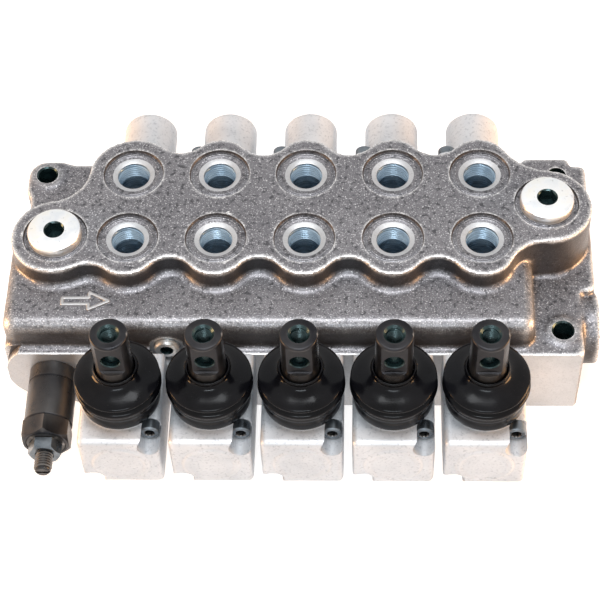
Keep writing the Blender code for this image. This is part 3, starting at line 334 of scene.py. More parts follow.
def thread_ridge(radius, depth, pitch, low, high, inward, turn=None, at=(0, 0, 0), steps=32):
    """Helical thread, a ridge of triangular section that stands on a wall of that radius."""
    bm = bmesh.new()
    turns = (high - low) / pitch
    count = round(turns * steps)
    side = -1 if inward else 1
    rows = []
    for index in range(count + 1):
        angle = 2 * math.pi * index / steps
        fade = min(1.0, index / steps * 2, (count - index) / steps * 2)
        height = low + (high - low) * index / count
        crest = depth * fade
        row = []
        for reach, rise in ((-0.15, -0.46), (crest, -0.06), (crest, 0.06), (-0.15, 0.46)):
            r = radius + side * reach
            x, y = r * math.cos(angle), r * math.sin(angle)
            row.append(bm.verts.new((x, y, height + rise * pitch)))
        rows.append(row)
    for row, following in zip(rows, rows[1:]):
        for index in range(4):
            other = (index + 1) % 4
            bm.faces.new((row[index], row[other], following[other], following[index]))
    bm.faces.new(rows[0])
    bm.faces.new(rows[-1])
    return placed(bm, turn, at)


def merged(forms):
    """One mesh that holds several closed forms as they are."""
    whole = bmesh.new()
    for form in forms:
        mesh = bpy.data.meshes.new("form")
        form.to_mesh(mesh)
        form.free()
        whole.from_mesh(mesh)
        bpy.data.meshes.remove(mesh)
    return whole


def shown(name, data):
    """New object in the scene that holds the data."""
    obj = bpy.data.objects.new(name, data)
    bpy.context.scene.collection.objects.link(obj)
    return obj


def linked(name, bm):
    mesh = bpy.data.meshes.new(name)
    bmesh.ops.scale(bm, vec=(MM, MM, MM), verts=bm.verts)
    bm.to_mesh(mesh)
    bm.free()
    return shown(name, mesh)


def discard(*objects):
    """Removes forms that were only copied from."""
    for obj in objects:
        bpy.data.objects.remove(obj, do_unlink=True)


def settled(obj):
    """The object with its modifiers applied."""
    graph = bpy.context.evaluated_depsgraph_get()
    mesh = bpy.data.meshes.new_from_object(obj.evaluated_get(graph))
    obj.modifiers.clear()
    old = obj.data
    obj.data = mesh
    bpy.data.meshes.remove(old)
    return obj


def roughen(mesh, amount, limits):
    """Uneven skin of a casting, its swell in millimetres, kept between two corners."""
    count = len(mesh.vertices)
    places = numpy.empty(count * 3)
    normals = numpy.empty(count * 3, dtype=numpy.float32)
    mesh.vertices.foreach_get("co", places)
    mesh.vertex_normals.foreach_get("vector", normals)
    places = places.reshape(-1, 3)
    swell = numpy.empty(count)
    for index, place in enumerate(places / MM):
        spot = Vector(place)
        swell[index] = noise.noise(spot / 9.0) + 0.5 * noise.noise(spot / 3.5)
    places += normals.reshape(-1, 3) * swell[:, None] * amount * MM
    numpy.clip(places, numpy.array(limits[0]) * MM, numpy.array(limits[1]) * MM, out=places)
    mesh.vertices.foreach_set("co", places.ravel())
    mesh.update()


def cast(name, forms, voxel, relax=6, waviness=0.0, limits=None):
    """Forms run together as in a mould, with every edge and inner corner softened."""
    obj = linked(name, merged(forms))
    remesh = obj.modifiers.new("remesh", "REMESH")
    remesh.mode = "VOXEL"
    remesh.voxel_size = voxel * MM
    smooth = obj.modifiers.new("smooth", "SMOOTH")
    smooth.factor = 0.5
    smooth.iterations = relax
    settled(obj)
    if waviness:
        roughen(obj.data, waviness, limits)
    return obj


def carved(obj, cuts, slots=3):
    """The object with forms cut from it; a cut face keeps its own form's finish."""
    filler = bpy.data.materials.get("unfinished") or bpy.data.materials.new("unfinished")
    while len(obj.data.materials) < slots:
        obj.data.materials.append(filler)
    for form in cuts:
        helper = linked("helper", form)
        for _ in range(slots):
            helper.data.materials.append(filler)
        modifier = obj.modifiers.new("cut", "BOOLEAN")
        modifier.operation = "DIFFERENCE"
        modifier.solver = "MANIFOLD"
        modifier.object = helper
        settled(obj)
        discard(helper)
    return obj


def dressed(obj, materials, body, stands_for=(), angle=32):
    """Shading, materials and body of a finished piece."""
    slots = obj.data.materials
    for index, material in enumerate(materials):
        if index < len(slots):
            slots[index] = material
        else:
            slots.append(material)
    obj.data.shade_smooth()
    obj.data.set_sharp_from_angle(angle=math.radians(angle))
    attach(obj, body)
    if stands_for:
        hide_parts(*stands_for)
    return obj


def copied(obj, name, shift):
    """Copy with its vertices moved, so that its grain isn't its neighbour's."""
    mesh = obj.data.copy()
    mesh.transform(Matrix.Translation(Vector(shift) * MM))
    return shown(name, mesh)


# Materials

class Nodes:
    """Short way to build a material's nodes."""

    def __init__(self, name, metallic=0.0, coat=0.0, coat_roughness=0.1, specular=0.5):
        self.material = bpy.data.materials.new(name)
        self.material.use_nodes = True
        self.tree = self.material.node_tree
        self.shader = self.tree.nodes["Principled BSDF"]
        constants = {"Metallic": metallic, "Coat Weight": coat, "Coat Roughness": coat_roughness}
        constants["Specular IOR Level"] = specular
        for key, value in constants.items():
            self.shader.inputs[key].default_value = value
        self.place = self.add("ShaderNodeTexCoord").outputs["Object"]
        self.height = None

    def add(self, kind, inputs=None, **settings):
        node = self.tree.nodes.new(kind)
        for key, value in settings.items():
            setattr(node, key, value)
        for key, value in (inputs or {}).items():
            if isinstance(value, bpy.types.NodeSocket):
                self.tree.links.new(value, node.inputs[key])
            else:
                node.inputs[key].default_value = value
        return node

    def noise(self, scale, detail=3.0, roughness=0.55, place=None):
        wanted = {"Vector": place or self.place, "Scale": scale}
        wanted.update({"Detail": detail, "Roughness": roughness})
        return self.add("ShaderNodeTexNoise", wanted).outputs["Fac"]

    def stretched(self, x, y, z):
        wanted = {"Vector": self.place, "Scale": (x, y, z)}
        return self.add("ShaderNodeMapping", wanted).outputs["Vector"]

    def ramp(self, fac, *stops):
        node = self.add("ShaderNodeValToRGB", {"Fac": fac})
        elements = node.color_ramp.elements
        while len(elements) < len(stops):
            elements.new(0.5)
        for element, (position, value) in zip(elements, stops):
            element.position = position
            element.color = (*(value if isinstance(value, tuple) else (value,) * 3), 1.0)
        return node.outputs["Color"]

    def span(self, fac, low, high, start=0.3, end=0.7):
        wanted = {"Value": fac, "From Min": start, "From Max": end, "To Min": low, "To Max": high}
        return self.add("ShaderNodeMapRange", wanted).outputs["Result"]

    def maths(self, operation, first, second):
        node = self.add("ShaderNodeMath", {0: first, 1: second}, operation=operation)
        return node.outputs["Value"]

    def mix(self, fac, colour, other):
        """The colour, which turns to the other one as the factor goes from 0 to 1."""
        wanted = {FACTOR: fac, COLOUR_A: colour, COLOUR_B: (*other, 1.0)}
        return self.add("ShaderNodeMix", wanted, data_type="RGBA").outputs[MIXED_COLOUR]

    def side(self):
        """How far a surface leans from level: 0 facing up, 1 on a wall."""
        normal = self.add("ShaderNodeTexCoord").outputs["Normal"]
        height = self.add("ShaderNodeSeparateXYZ", {"Vector": normal}).outputs["Z"]
        return self.span(height, 1.0, 0.0, 0.25, 0.85)

    def edge_wear_and_painted_light(self):
        """Pointiness: white along outer edges, black in hollows; it masks painted edge highlights,
        painted shade in corners and rubbed edges.
        """
        return self.add("ShaderNodeNewGeometry").outputs["Pointiness"]

    def bump(self, height, strength, distance):
        wanted = {"Strength": strength, "Distance": distance * MM, "Height": height}
        if self.height:
            wanted["Normal"] = self.height
        self.height = self.add("ShaderNodeBump", wanted).outputs["Normal"]

    def done(self, colour, roughness):
        self.tree.links.new(colour, self.shader.inputs["Base Color"])
        self.tree.links.new(roughness, self.shader.inputs["Roughness"])
        if self.height:
            self.tree.links.new(self.height, self.shader.inputs["Normal"])
        return self.material


def iron_skin(name, painted_edge_highlight=1.0):
    """Shot-blasted casting: grey with painted bright glints in its grain, and painted shade, dark
    and brownish, down its walls.
    """
    n = Nodes(name)
    blotch = n.noise(38, 4)
    grain = n.noise(1500, 2, 0.6)
    coarse = n.noise(450, 3, 0.6)
    grey = n.ramp(blotch, (0.3, (0.160, 0.156, 0.168)), (0.7, (0.215, 0.210, 0.222)))
    # Painted glints: bright specks mixed into the grey where the fine grain is high
    colour = n.mix(n.ramp(grain, (0.57, 0.0), (0.70, 0.8)), grey, (0.80, 0.79, 0.80))
    colour = n.mix(n.ramp(coarse, (0.34, 0.8), (0.47, 0.0)), colour, (0.05, 0.05, 0.055))
    wall = n.side()
    # Painted shade: the walls turn dark and brownish, unevenly, as they lean away from level
    painted_wall_shade = n.maths("MULTIPLY", wall, n.span(n.noise(26, 3), 0.8, 0.97))
    colour = n.mix(painted_wall_shade, colour, (0.050, 0.045, 0.044))
    n.tree.links.new(n.span(wall, 0.8, 0.5, 0.0, 1.0), n.shader.inputs["Metallic"])
    # Painted highlight: near white along outer edges, flecked by the grain and scaled by the
    # edge-highlight argument
    edge = n.ramp(n.edge_wear_and_painted_light(), (0.506, 0.0), (0.54, 1.0))
    edge = n.maths("MULTIPLY", edge, n.span(grain, 0.3, 1.0, 0.35, 0.6))
    colour = n.mix(n.maths("MULTIPLY", edge, painted_edge_highlight), colour, (0.85, 0.84, 0.83))
    n.bump(coarse, 0.4, 0.25)
    n.bump(grain, 0.8, 0.14)
    return n.done(colour, n.span(grain, 0.28, 0.5))


def machined_iron():
    """Face-milled iron, bright with fine scratches."""
    n = Nodes("machined_iron", metallic=0.6)
    blotch = n.noise(60, 4)
    lines = n.noise(1.0, 2, 0.5, n.stretched(90, 90, 2600))
    grain = n.noise(1400, 2)
    colour = n.ramp(blotch, (0.3, (0.46, 0.47, 0.48)), (0.7, (0.58, 0.58, 0.59)))
    colour = n.mix(n.ramp(grain, (0.5, 0.0), (0.75, 0.5)), colour, (0.34, 0.34, 0.35))
    n.bump(lines, 0.25, 0.05)
    n.bump(grain, 0.25, 0.03)
    return n.done(colour, n.span(blotch, 0.34, 0.48))


def bored_steel():
    """Threaded wall of a port, with a bluish cut surface."""
    n = Nodes("bored_iron", metallic=0.5)
    blotch = n.noise(120, 3)
    lines = n.noise(1.0, 2, 0.5, n.stretched(60, 60, 4200))
    colour = n.ramp(blotch, (0.3, (0.24, 0.34, 0.44)), (0.7, (0.42, 0.53, 0.62)))
    n.bump(lines, 0.2, 0.04)
    return n.done(colour, n.span(lines, 0.20, 0.34))


def aluminium_skin():
    """Tumbled die casting, nearly white, with a faint grain and painted shade, grey, in its
    corners.
    """
    n = Nodes("aluminium_skin", metallic=0.35)
    blotch = n.noise(55, 4)
    grain = n.noise(800, 3)
    lumps = n.noise(160, 3)
    colour = n.ramp(blotch, (0.3, (0.64, 0.66, 0.69)), (0.7, (0.80, 0.81, 0.83)))
    colour = n.mix(n.ramp(grain, (0.54, 0.0), (0.74, 0.6)), colour, (0.36, 0.38, 0.41))
    # Painted shade: a darker grey in the hollows and inner corners
    edge = n.ramp(n.edge_wear_and_painted_light(), (0.44, 1.0), (0.49, 0.0))
    colour = n.mix(edge, colour, (0.48, 0.49, 0.52))
    n.bump(lumps, 0.3, 0.12)
    n.bump(grain, 0.35, 0.05)
    return n.done(colour, n.span(lumps, 0.36, 0.52))


def machined_aluminium():
    """Bored and faced insides of the castings."""
    n = Nodes("machined_aluminium", metallic=0.8)
    lines = n.noise(1.0, 2, 0.5, n.stretched(120, 2500, 120))
    blotch = n.noise(70, 3)
    colour = n.ramp(blotch, (0.3, (0.72, 0.73, 0.75)), (0.7, (0.84, 0.85, 0.86)))
    n.bump(lines, 0.2, 0.03)
    return n.done(colour, n.span(blotch, 0.25, 0.38))


def boot_rubber():
    """Oiled black rubber, glossy with dull smears and fine dust."""
    n = Nodes("boot_rubber", coat=0.05, coat_roughness=0.06, specular=0.12)
    smear = n.noise(1.0, 4, 0.6, n.stretched(70, 70, 160))
    dust = n.noise(1300, 2)
    colour = n.ramp(smear, (0.3, (0.002, 0.002, 0.003)), (0.75, (0.008, 0.008, 0.010)))
    colour = n.mix(n.ramp(dust, (0.68, 0.0), (0.82, 0.3)), colour, (0.08, 0.08, 0.08))
    n.bump(n.noise(220, 3), 0.15, 0.12)
    return n.done(colour, n.span(smear, 0.10, 0.24))


def black_steel():
    """Black oxide on turned steel, with bright rubbed edges."""
    n = Nodes("black_steel", metallic=0.75)
    blotch = n.noise(90, 4)
    lines = n.noise(1.0, 2, 0.5, n.stretched(80, 80, 3200))
    colour = n.ramp(blotch, (0.3, (0.012, 0.012, 0.015)), (0.7, (0.034, 0.033, 0.035)))
    edge = n.ramp(n.edge_wear_and_painted_light(), (0.54, 0.0), (0.66, 0.8))
    colour = n.mix(edge, colour, (0.30, 0.28, 0.26))
    n.bump(lines, 0.25, 0.04)
    n.bump(n.noise(900, 2), 0.2, 0.03)
    return n.done(colour, n.span(blotch, 0.24, 0.40))


def ground_steel():
    """Spools, springs and poppets, with fine lines around them."""
    n = Nodes("ground_steel", metallic=1.0)
    lines = n.noise(1.0, 2, 0.5, n.stretched(3000, 80, 3000))
    colour = n.ramp(n.noise(80, 3), (0.3, (0.55, 0.56, 0.58)), (0.7, (0.68, 0.69, 0.70)))
    n.bump(lines, 0.12, 0.02)
    return n.done(colour, n.span(lines, 0.14, 0.26))


def zinc_plate():
    """Bright zinc plate with blue and straw tints and small stains."""
    n = Nodes("zinc_plate", metallic=0.85)
    tint = n.noise(110, 3)
    white, straw = (0.88, 0.89, 0.89), (0.86, 0.84, 0.78)
    colour = n.ramp(tint, (0.3, (0.76, 0.80, 0.84)), (0.5, white), (0.7, straw))
    stain = n.ramp(n.noise(420, 3), (0.64, 0.0), (0.74, 0.6))
    colour = n.mix(stain, colour, (0.42, 0.42, 0.42))
    n.bump(n.noise(700, 2), 0.2, 0.03)
    return n.done(colour, n.span(tint, 0.26, 0.42))


def dark_zinc():
    """Cap screws and the lock nut: zinc gone dark with oil."""
    n = Nodes("dark_zinc", metallic=0.9)
    tint = n.noise(160, 3)
    colour = n.ramp(tint, (0.3, (0.11, 0.13, 0.15)), (0.7, (0.21, 0.235, 0.255)))
    n.bump(n.noise(900, 2), 0.2, 0.03)
    return n.done(colour, n.span(tint, 0.24, 0.38))


def socket_shade():
    """Painted shade for hexagon sockets, threads and holes: dark with a green tint."""
    n = Nodes("socket_shade", metallic=0.5)
    colour = n.ramp(n.noise(240, 3), (0.35, (0.012, 0.028, 0.030)), (0.7, (0.035, 0.070, 0.072)))
    n.bump(n.noise(700, 2), 0.3, 0.05)
    return n.done(colour, n.span(n.noise(300, 2), 0.18, 0.34))


def seal_rubber():
    """Wipers of the spools, dull black."""
    n = Nodes("seal_rubber")
    colour = n.ramp(n.noise(300, 2), (0.3, 0.012), (0.7, 0.03))
    n.bump(n.noise(600, 2), 0.2, 0.05)
    return n.done(colour, n.span(n.noise(200, 2), 0.4, 0.6))


# Casting

def base_outline():
    """Plan of the casting's foot, with the mounting lugs and the stepped right end."""
    left_hole, right_hole, _ = MOUNT_HOLES
    lug_left = left_hole[0] - MOUNT_LUG_R
    lug_rear = left_hole[1] + MOUNT_LUG_R
    waist_x = LEFT_X + 3.0
    waist_y = left_hole[1] - MOUNT_LUG_R - 6.0
    right_lug_x = right_hole[0] + 6.6
    right_lug_y = REAR_Y + 3.4
    lug_root = right_hole[0] - 15.0
    corners = [
        (LEFT_X, FRONT_Y - MARGIN, 0),
        (RIGHT_X, FRONT_Y - MARGIN, CORNER_R),
        (RIGHT_X, REAR_STEP_Y, 2.0),
        (STEP_X, REAR_STEP_Y, CORNER_R),
        (STEP_X, right_lug_y - 4.6, 1.5),
        (right_lug_x, right_lug_y - 4.6, 0),
        (right_lug_x, right_lug_y, 3.0),
        (lug_root, right_lug_y, 1.5),
        (lug_root - 3.0, REAR_Y, 0),
        (left_hole[0] + MOUNT_LUG_R + 4.0, REAR_Y, 0),
        (left_hole[0] + MOUNT_LUG_R - 2.0, lug_rear, 2.0),
        (lug_left, lug_rear, MOUNT_LUG_R - 0.5),
        (lug_left, left_hole[1] - MOUNT_LUG_R, 2.0),
        (waist_x, waist_y, 0),
        (waist_x, waist_y - 8.0, 0),
        (LEFT_X, waist_y - 12.0, 0),
    ]
    return rounded_outline(corners)


def plate_outline(grow=0.0):
    """Plan of the top plate, lobe by lobe, counter-clockwise from the pump port."""
    (pump_x, pump_y), (tank_x, tank_y) = PLUG_POINTS
    ahead = LOBE_REACH - LOBE_R
    lobes = [(pump_x, pump_y, PUMP_LOBE_R, PUMP_FRONT_FILLET_R)]
    for x in COLUMNS:
        last = x == COLUMNS[-1]
        lobes.append((x, -ahead, LOBE_R, TANK_FRONT_FILLET_R if last else VALLEY_R))
    lobes.append((tank_x, tank_y - TANK_LOBE_SETBACK, TANK_LOBE_R, TANK_REAR_FILLET_R))
    for x in reversed(COLUMNS[1:]):
        lobes.append((x, PORT_ROWS + ahead, LOBE_R, REAR_VALLEY_R))
    lobes.append((COLUMNS[0], PORT_ROWS, REAR_END_LOBE_R, PUMP_REAR_FILLET_R))
    return lobed_outline([(x, y, radius + grow, fillet - grow) for x, y, radius, fillet in lobes])


def wave_foot():
    """Plan of the low step that fills the corner between the wavy wall and the shelf."""
    wave = [(x, y) for x, y in plate_outline(1.3) if -123 < x < 95 and y < -3]
    return [*wave, (88.0, 0.0), (-120.0, 0.0)]


def port_cutters(spotface, bottom, turn=None, at=(0, 0, 0)):
    """Rough spotface, the bright seat ring inside it, then the bore."""
    floor = -SPOTFACE_DEPTH
    ring = floor - PORT_CHAMFER_DEPTH
    slope = (PORT_CHAMFER_R - PORT_BORE_R) / PORT_CHAMFER_DEPTH
    face = [(0, MARGIN), (spotface + 0.5, MARGIN), (spotface + 0.5, 0.0), (spotface, floor)]
    for reach in (spotface - 1.1, spotface - 2.0):
        face.extend([(reach + 0.2, floor), (reach, floor + 0.12), (reach - 0.2, floor)])
    face.append((0, floor))
    rim, lip = PORT_CHAMFER_R + 0.2 * slope, floor + 0.2
    seat = [(0, lip), (rim, lip), (PORT_BORE_R, ring), (0, ring)]
    return [
        turned(face, 64, turn, at, FACED),
        turned(seat, 64, turn, at, MACHINED),
        rod(PORT_BORE_R, bottom, ring + 0.1, 64, turn, at, BORED),
    ]


def spool_bore(x):
    """Bore of one section, with the wiper's recess and the chambers under its two ports."""
    stages = [(11.0, FRONT_Y + 5.5)]
    for port_y in (0.0, PORT_ROWS):
        stages.extend([(BORE_R, port_y - 8.2), (10.5, port_y + 8.2)])
    profile = stepped(FRONT_Y - OVERLAP, *stages, (BORE_R, REAR_Y + OVERLAP))
    return turned(profile, 32, TURN_TO_Y, (x, 0, SPOOL_Z), BORED)


def corner_cutters():
    """Material outside the round machined face of the relief valve, below and above its axis."""
    axis = (RELIEF_X, SPOOL_Z)
    aside = math.acos((RELIEF_X - LEFT_X) / FACE_BOSS_R) - math.radians(3)
    low = [(LEFT_X - 3, -3), (RELIEF_X + 14.0, -3), (RELIEF_X + 14.0, 0.0)]
    low.extend(reversed(arc(axis, FACE_BOSS_R, math.pi + aside, math.pi * 1.5)))
    low.append((LEFT_X - 3, low[-1][1]))
    rise = math.asin((LEDGE_Z - SPOOL_Z + MARGIN) / FACE_BOSS_R)
    high = arc(axis, FACE_BOSS_R, math.pi - aside, math.pi - rise)
    top = LEDGE_Z + OVERLAP
    high.extend([(high[-1][0], top), (LEFT_X - 3, top), (LEFT_X - 3, high[0][1])])
    front = OVERLAP - FRONT_Y
    return [
        prism(low, front - 18.0, front, turn=TURN_TO_FRONT),
        prism(high, FIT - SHELF_FRONT_Y, front, turn=TURN_TO_FRONT),
    ]


def relief_bore():
    """Stepped bore of the relief valve, back to the pump gallery."""
    profile = stepped(FRONT_Y - OVERLAP, (9.0, FRONT_Y + 33.3), (5.5, PUMP_AXIS[1] + MARGIN))
    return turned(profile, 32, TURN_TO_Y, (RELIEF_X, 0, SPOOL_Z), BORED)


def check_cutters():
    """Arch-shaped notch over the check plug, and the stepped bore behind it."""
    floor = SHELF_FRONT_Y + 0.7
    notch = rod(8.0, FRONT_Y - OVERLAP, floor, 48, TURN_TO_Y, (CHECK_X, 0, CHECK_Z), MACHINED)
    bore = stepped(FRONT_Y, (6.0, 4.0), (3.5, PUMP_AXIS[1] + MARGIN))
    return [notch, turned(bore, 32, TURN_TO_Y, (CHECK_X, 0, CHECK_Z), BORED)]


def make_casting(iron, machined, bored, faced, shade):
    """Housing: forms run together, then every machined face, port and bore cut."""
    shelf_low = (LEFT_X + 0.4, SHELF_FRONT_Y, 30.0)
    body = cast(
        "valve_casting",
        [
            prism(base_outline(), -OVERLAP, LEDGE_Z, 1.2),
            block(shelf_low, (SHELF_RIGHT_X, SHELF_REAR_Y, SHELF_Z), SHELF_EDGE_R, 8),
            prism(plate_outline(), LEDGE_Z - OVERLAP, BODY_HEIGHT, 0.8),
            rod(TANK_BOSS_R, RIGHT_X - 8, TANK_FACE_X, 64, TURN_TO_X, TANK_AXIS),
            prism(wave_foot(), SHELF_Z - OVERLAP, SHELF_Z + 1.2, 0.5),
            *[rod(PAD_R, LEDGE_Z - OVERLAP, PAD_TOP, at=(x, y, 0)) for x, y in MOUNT_HOLES[::2]],
        ],
        voxel=1.05,
        relax=5,
        waviness=0.10,
        limits=((LEFT_X, -WIDE, -WIDE), (TANK_FACE_X, WIDE, WIDE)),
    )
    cuts = [
        block((-WIDE, FRONT_Y - 20, -WIDE), (WIDE, FRONT_Y, WIDE), finish=MACHINED),
        block((-WIDE, -WIDE, -20), (WIDE, WIDE, 0), finish=MACHINED),
        *corner_cutters(),
    ]
    bottom = SPOOL_Z + MARGIN - BODY_HEIGHT
    for x in COLUMNS:
        cuts.append(spool_bore(x))
        for y in (0.0, PORT_ROWS):
            cuts.extend(port_cutters(SPOTFACE_R, bottom, at=(x, y, BODY_HEIGHT)))
    for x, y in PLUG_POINTS:
        cuts.extend(port_cutters(PLUG_SPOTFACE_R, bottom, at=(x, y, BODY_HEIGHT)))
    side = PORT_CHAMFER_R + OVERLAP
    for turn, at in SIDE_PORTS:
        cuts.extend(port_cutters(side, -SIDE_PORT_DEPTH, turn, at))
    tank_x = PLUG_POINTS[1][0]
    for radius, low, high, axis in (
        (7.0, LEFT_X + MARGIN, COLUMNS[-1] + 10, PUMP_AXIS),
        (5.5, RELIEF_X + OVERLAP, TANK_FACE_X - MARGIN, TANK_AXIS),
        (4.5, COLUMNS[0] - OVERLAP, tank_x + OVERLAP, TANK_REAR_AXIS),
    ):
        cuts.append(rod(radius, low, high, 32, TURN_TO_X, axis, BORED))
    low, high = TANK_AXIS[1] - MARGIN, TANK_REAR_AXIS[1] + MARGIN
    cuts.append(rod(5.1, low, high, 32, TURN_TO_Y, (tank_x, 0, SPOOL_Z), BORED))
    rim = MOUNT_HOLE_R + 0.9
    for x, y in MOUNT_HOLES:
        profile = [(0, -1), (MOUNT_HOLE_R, -1), (MOUNT_HOLE_R, PAD_TOP - 0.7)]
        profile.extend([(rim, PAD_TOP + 0.2), (rim, PAD_TOP + 3), (0, PAD_TOP + 3)])
        # The mounting holes are lined with the painted shade material
        cuts.append(turned(profile, 48, at=(x, y, 0), finish=SHADED))
    cuts.append(relief_bore())
    cuts.extend(check_cutters())
    carved(body, cuts, slots=5)
    finishes = (iron, machined, bored, faced, shade)
    dressed(body, finishes, "housing", ["valve_body"], 35)


def make_port_threads(bored):
    """Threads of the work ports, then of the outlet and the inlet."""
    top = BODY_HEIGHT - THREAD_START
    places = [(top - 9, top, None, (x, y, 0)) for x in COLUMNS for y in (0.0, PORT_ROWS)]
    places.extend((-SIDE_PORT_DEPTH, -THREAD_START, turn, at) for turn, at in SIDE_PORTS)
    forms = [
        thread_ridge(PORT_BORE_R, RIDGE_HEIGHT, PORT_PITCH, low, high, True, turn, at)
        for low, high, turn, at in places
    ]
    dressed(linked("port_threads", merged(forms)), (bored,), "housing", angle=50)


def make_flow_arrow(machined):
    """Raised outline of an arrow on the shelf, as cast."""
    length, half, head, head_half = 21.0, 1.7, 9.0, 4.6
    neck = length - head
    outline = [(0, -half), (neck, -half), (neck, -head_half), (length, 0)]
    outline.extend([(neck, head_half), (neck, half), (0, half)])
    at = Vector((-108.3, -28.0, SHELF_Z - 0.1))
    forms = []
    for start, end in zip(outline, outline[1:] + outline[:1]):
        start, end = Vector(start), Vector(end)
        along = (end - start).normalized() * 0.35
        bm = block((0, -0.75, -0.3), ((end - start).length + 0.7, 0.75, 0.85), 0.3, 2)
        turn = Matrix.Rotation(math.atan2(along.y, along.x), 3, "Z")
        forms.append(placed(bm, turn, Vector((*(start - along), 0)) + at))
    arrow = cast("flow_arrow", forms, voxel=0.18, relax=3)
    dressed(arrow, (machined,), "housing")


# Lever sections

def socket_screw(name, seat_y):
    """Socket head cap screw along Y whose head stands on a seat."""
    back = seat_y > 0
    turn = TURN_TO_Y if back else TURN_TO_FRONT
    seat = seat_y if back else -seat_y
    top = seat + SCREW_HEAD_HEIGHT
    r = SCREW_HEAD_R
    profile = [(0, seat - 2), (2.5, seat - 2), (2.5, seat), (r, seat)]
    profile.extend([(r, top - 0.5), (r - 0.5, top), (0, top)])
    screw = linked(name, turned(profile, 40, turn))
    return carved(screw, socket(SCREW_HEX, top - 2.6, top, turn))


def make_die_casts(place, kind, forms, cuts, seat_y, materials):
    """Die casting on each section, with cap screws in two opposite corners of it."""
    aluminium, machined, dark, black = materials
    limits = ((-WIDE, -WIDE, -WIDE), (WIDE, CAP_FOOT_Y + CAP_LENGTH, WIDE))
    form = cast(f"{kind}_form", forms, voxel=0.62, relax=4, waviness=0.05, limits=limits)
    carved(form, cuts, slots=2)
    screw = socket_screw(f"{kind}_screw_form", seat_y)
    side = math.copysign(SCREW_X, -seat_y)
    for number, x in enumerate(COLUMNS, start=1):
        piece = copied(form, f"{place}_{kind}_casting_{number}", (x, 0, 0))
        node = f"{place}_{kind}_{number}"
        dressed(piece, (aluminium, machined), "housing", [node], 38)
        for rise, word in ((1, "upper"), (-1, "lower")):
            shift = (x + side * rise, 0, SPOOL_Z + SCREW_RISE * rise)
            piece = copied(screw, f"{kind}_screw_{word}_{number}", shift)
            dressed(piece, (dark, black, black), "housing")
    discard(form, screw)


def make_lever_boxes(materials):
    """Boxes with a round boss in front, a neck for the boot and two screw channels."""
    low = (-BOX_HALF, BOX_FRONT_Y, BOX_BOTTOM)
    high = (BOX_HALF, BOX_REAR_Y + 3, BOX_TOP)
    seat = math.sqrt((BALL_R + FIT) ** 2 - 36.0)
    foot, mouth, r = SPOOL_Z + MARGIN, NECK_TOP + MARGIN, BALL_R + 0.6
    ball_bore = [(0, foot), (6.0, foot), (6.0, PIVOT_Z - seat), (r, PIVOT_Z - seat + 1.2)]
    ball_bore.extend([(r, PIVOT_Z + 2.1), (12.8, PIVOT_Z + 2.1), (12.8, mouth), (0, mouth)])
    front = -BOX_FRONT_Y
    boss = [(0, front - 4), (13.2, front - 4), (12.7, front), (12.0, front + 0.9)]
    boss.extend([(10.9, front + 0.9), (10.4, front + 0.35), (0, front + 0.35)])
    neck = [(0, BOX_TOP - 3), (17.4, BOX_TOP - 3), (16.4, BOX_TOP + 0.4), (NECK_R, BOX_TOP + 1.4)]
    neck.extend([(NECK_R, NECK_TOP), (0, NECK_TOP)])
    end = BOX_FRONT_Y + CHANNEL_LENGTH
    forms = [
        block(low, high, 2.4, 5),
        turned(boss, 64, TURN_TO_FRONT, (0, 0, SPOOL_Z)),
        turned(neck, 64, at=(0, LEVER_Y, 0)),
    ]
    cuts = [
        block((-30, BOX_REAR_Y, -10), (30, BOX_REAR_Y + 10, 70), finish=MACHINED),
        rod(10.0, BOX_FRONT_Y + 6, BOX_REAR_Y + 1, 40, TURN_TO_Y, (0, 0, SPOOL_Z), MACHINED),
        turned(ball_bore, 48, at=(0, LEVER_Y, 0), finish=MACHINED),
    ]
    for side in (1, -1):
        at = (SCREW_X * side, 0, SPOOL_Z + SCREW_RISE * side)
        cuts.append(rod(CHANNEL_R, BOX_FRONT_Y - 3, end, 40, TURN_TO_Y, at))
    make_die_casts("lever", "box", forms, cuts, end, materials)


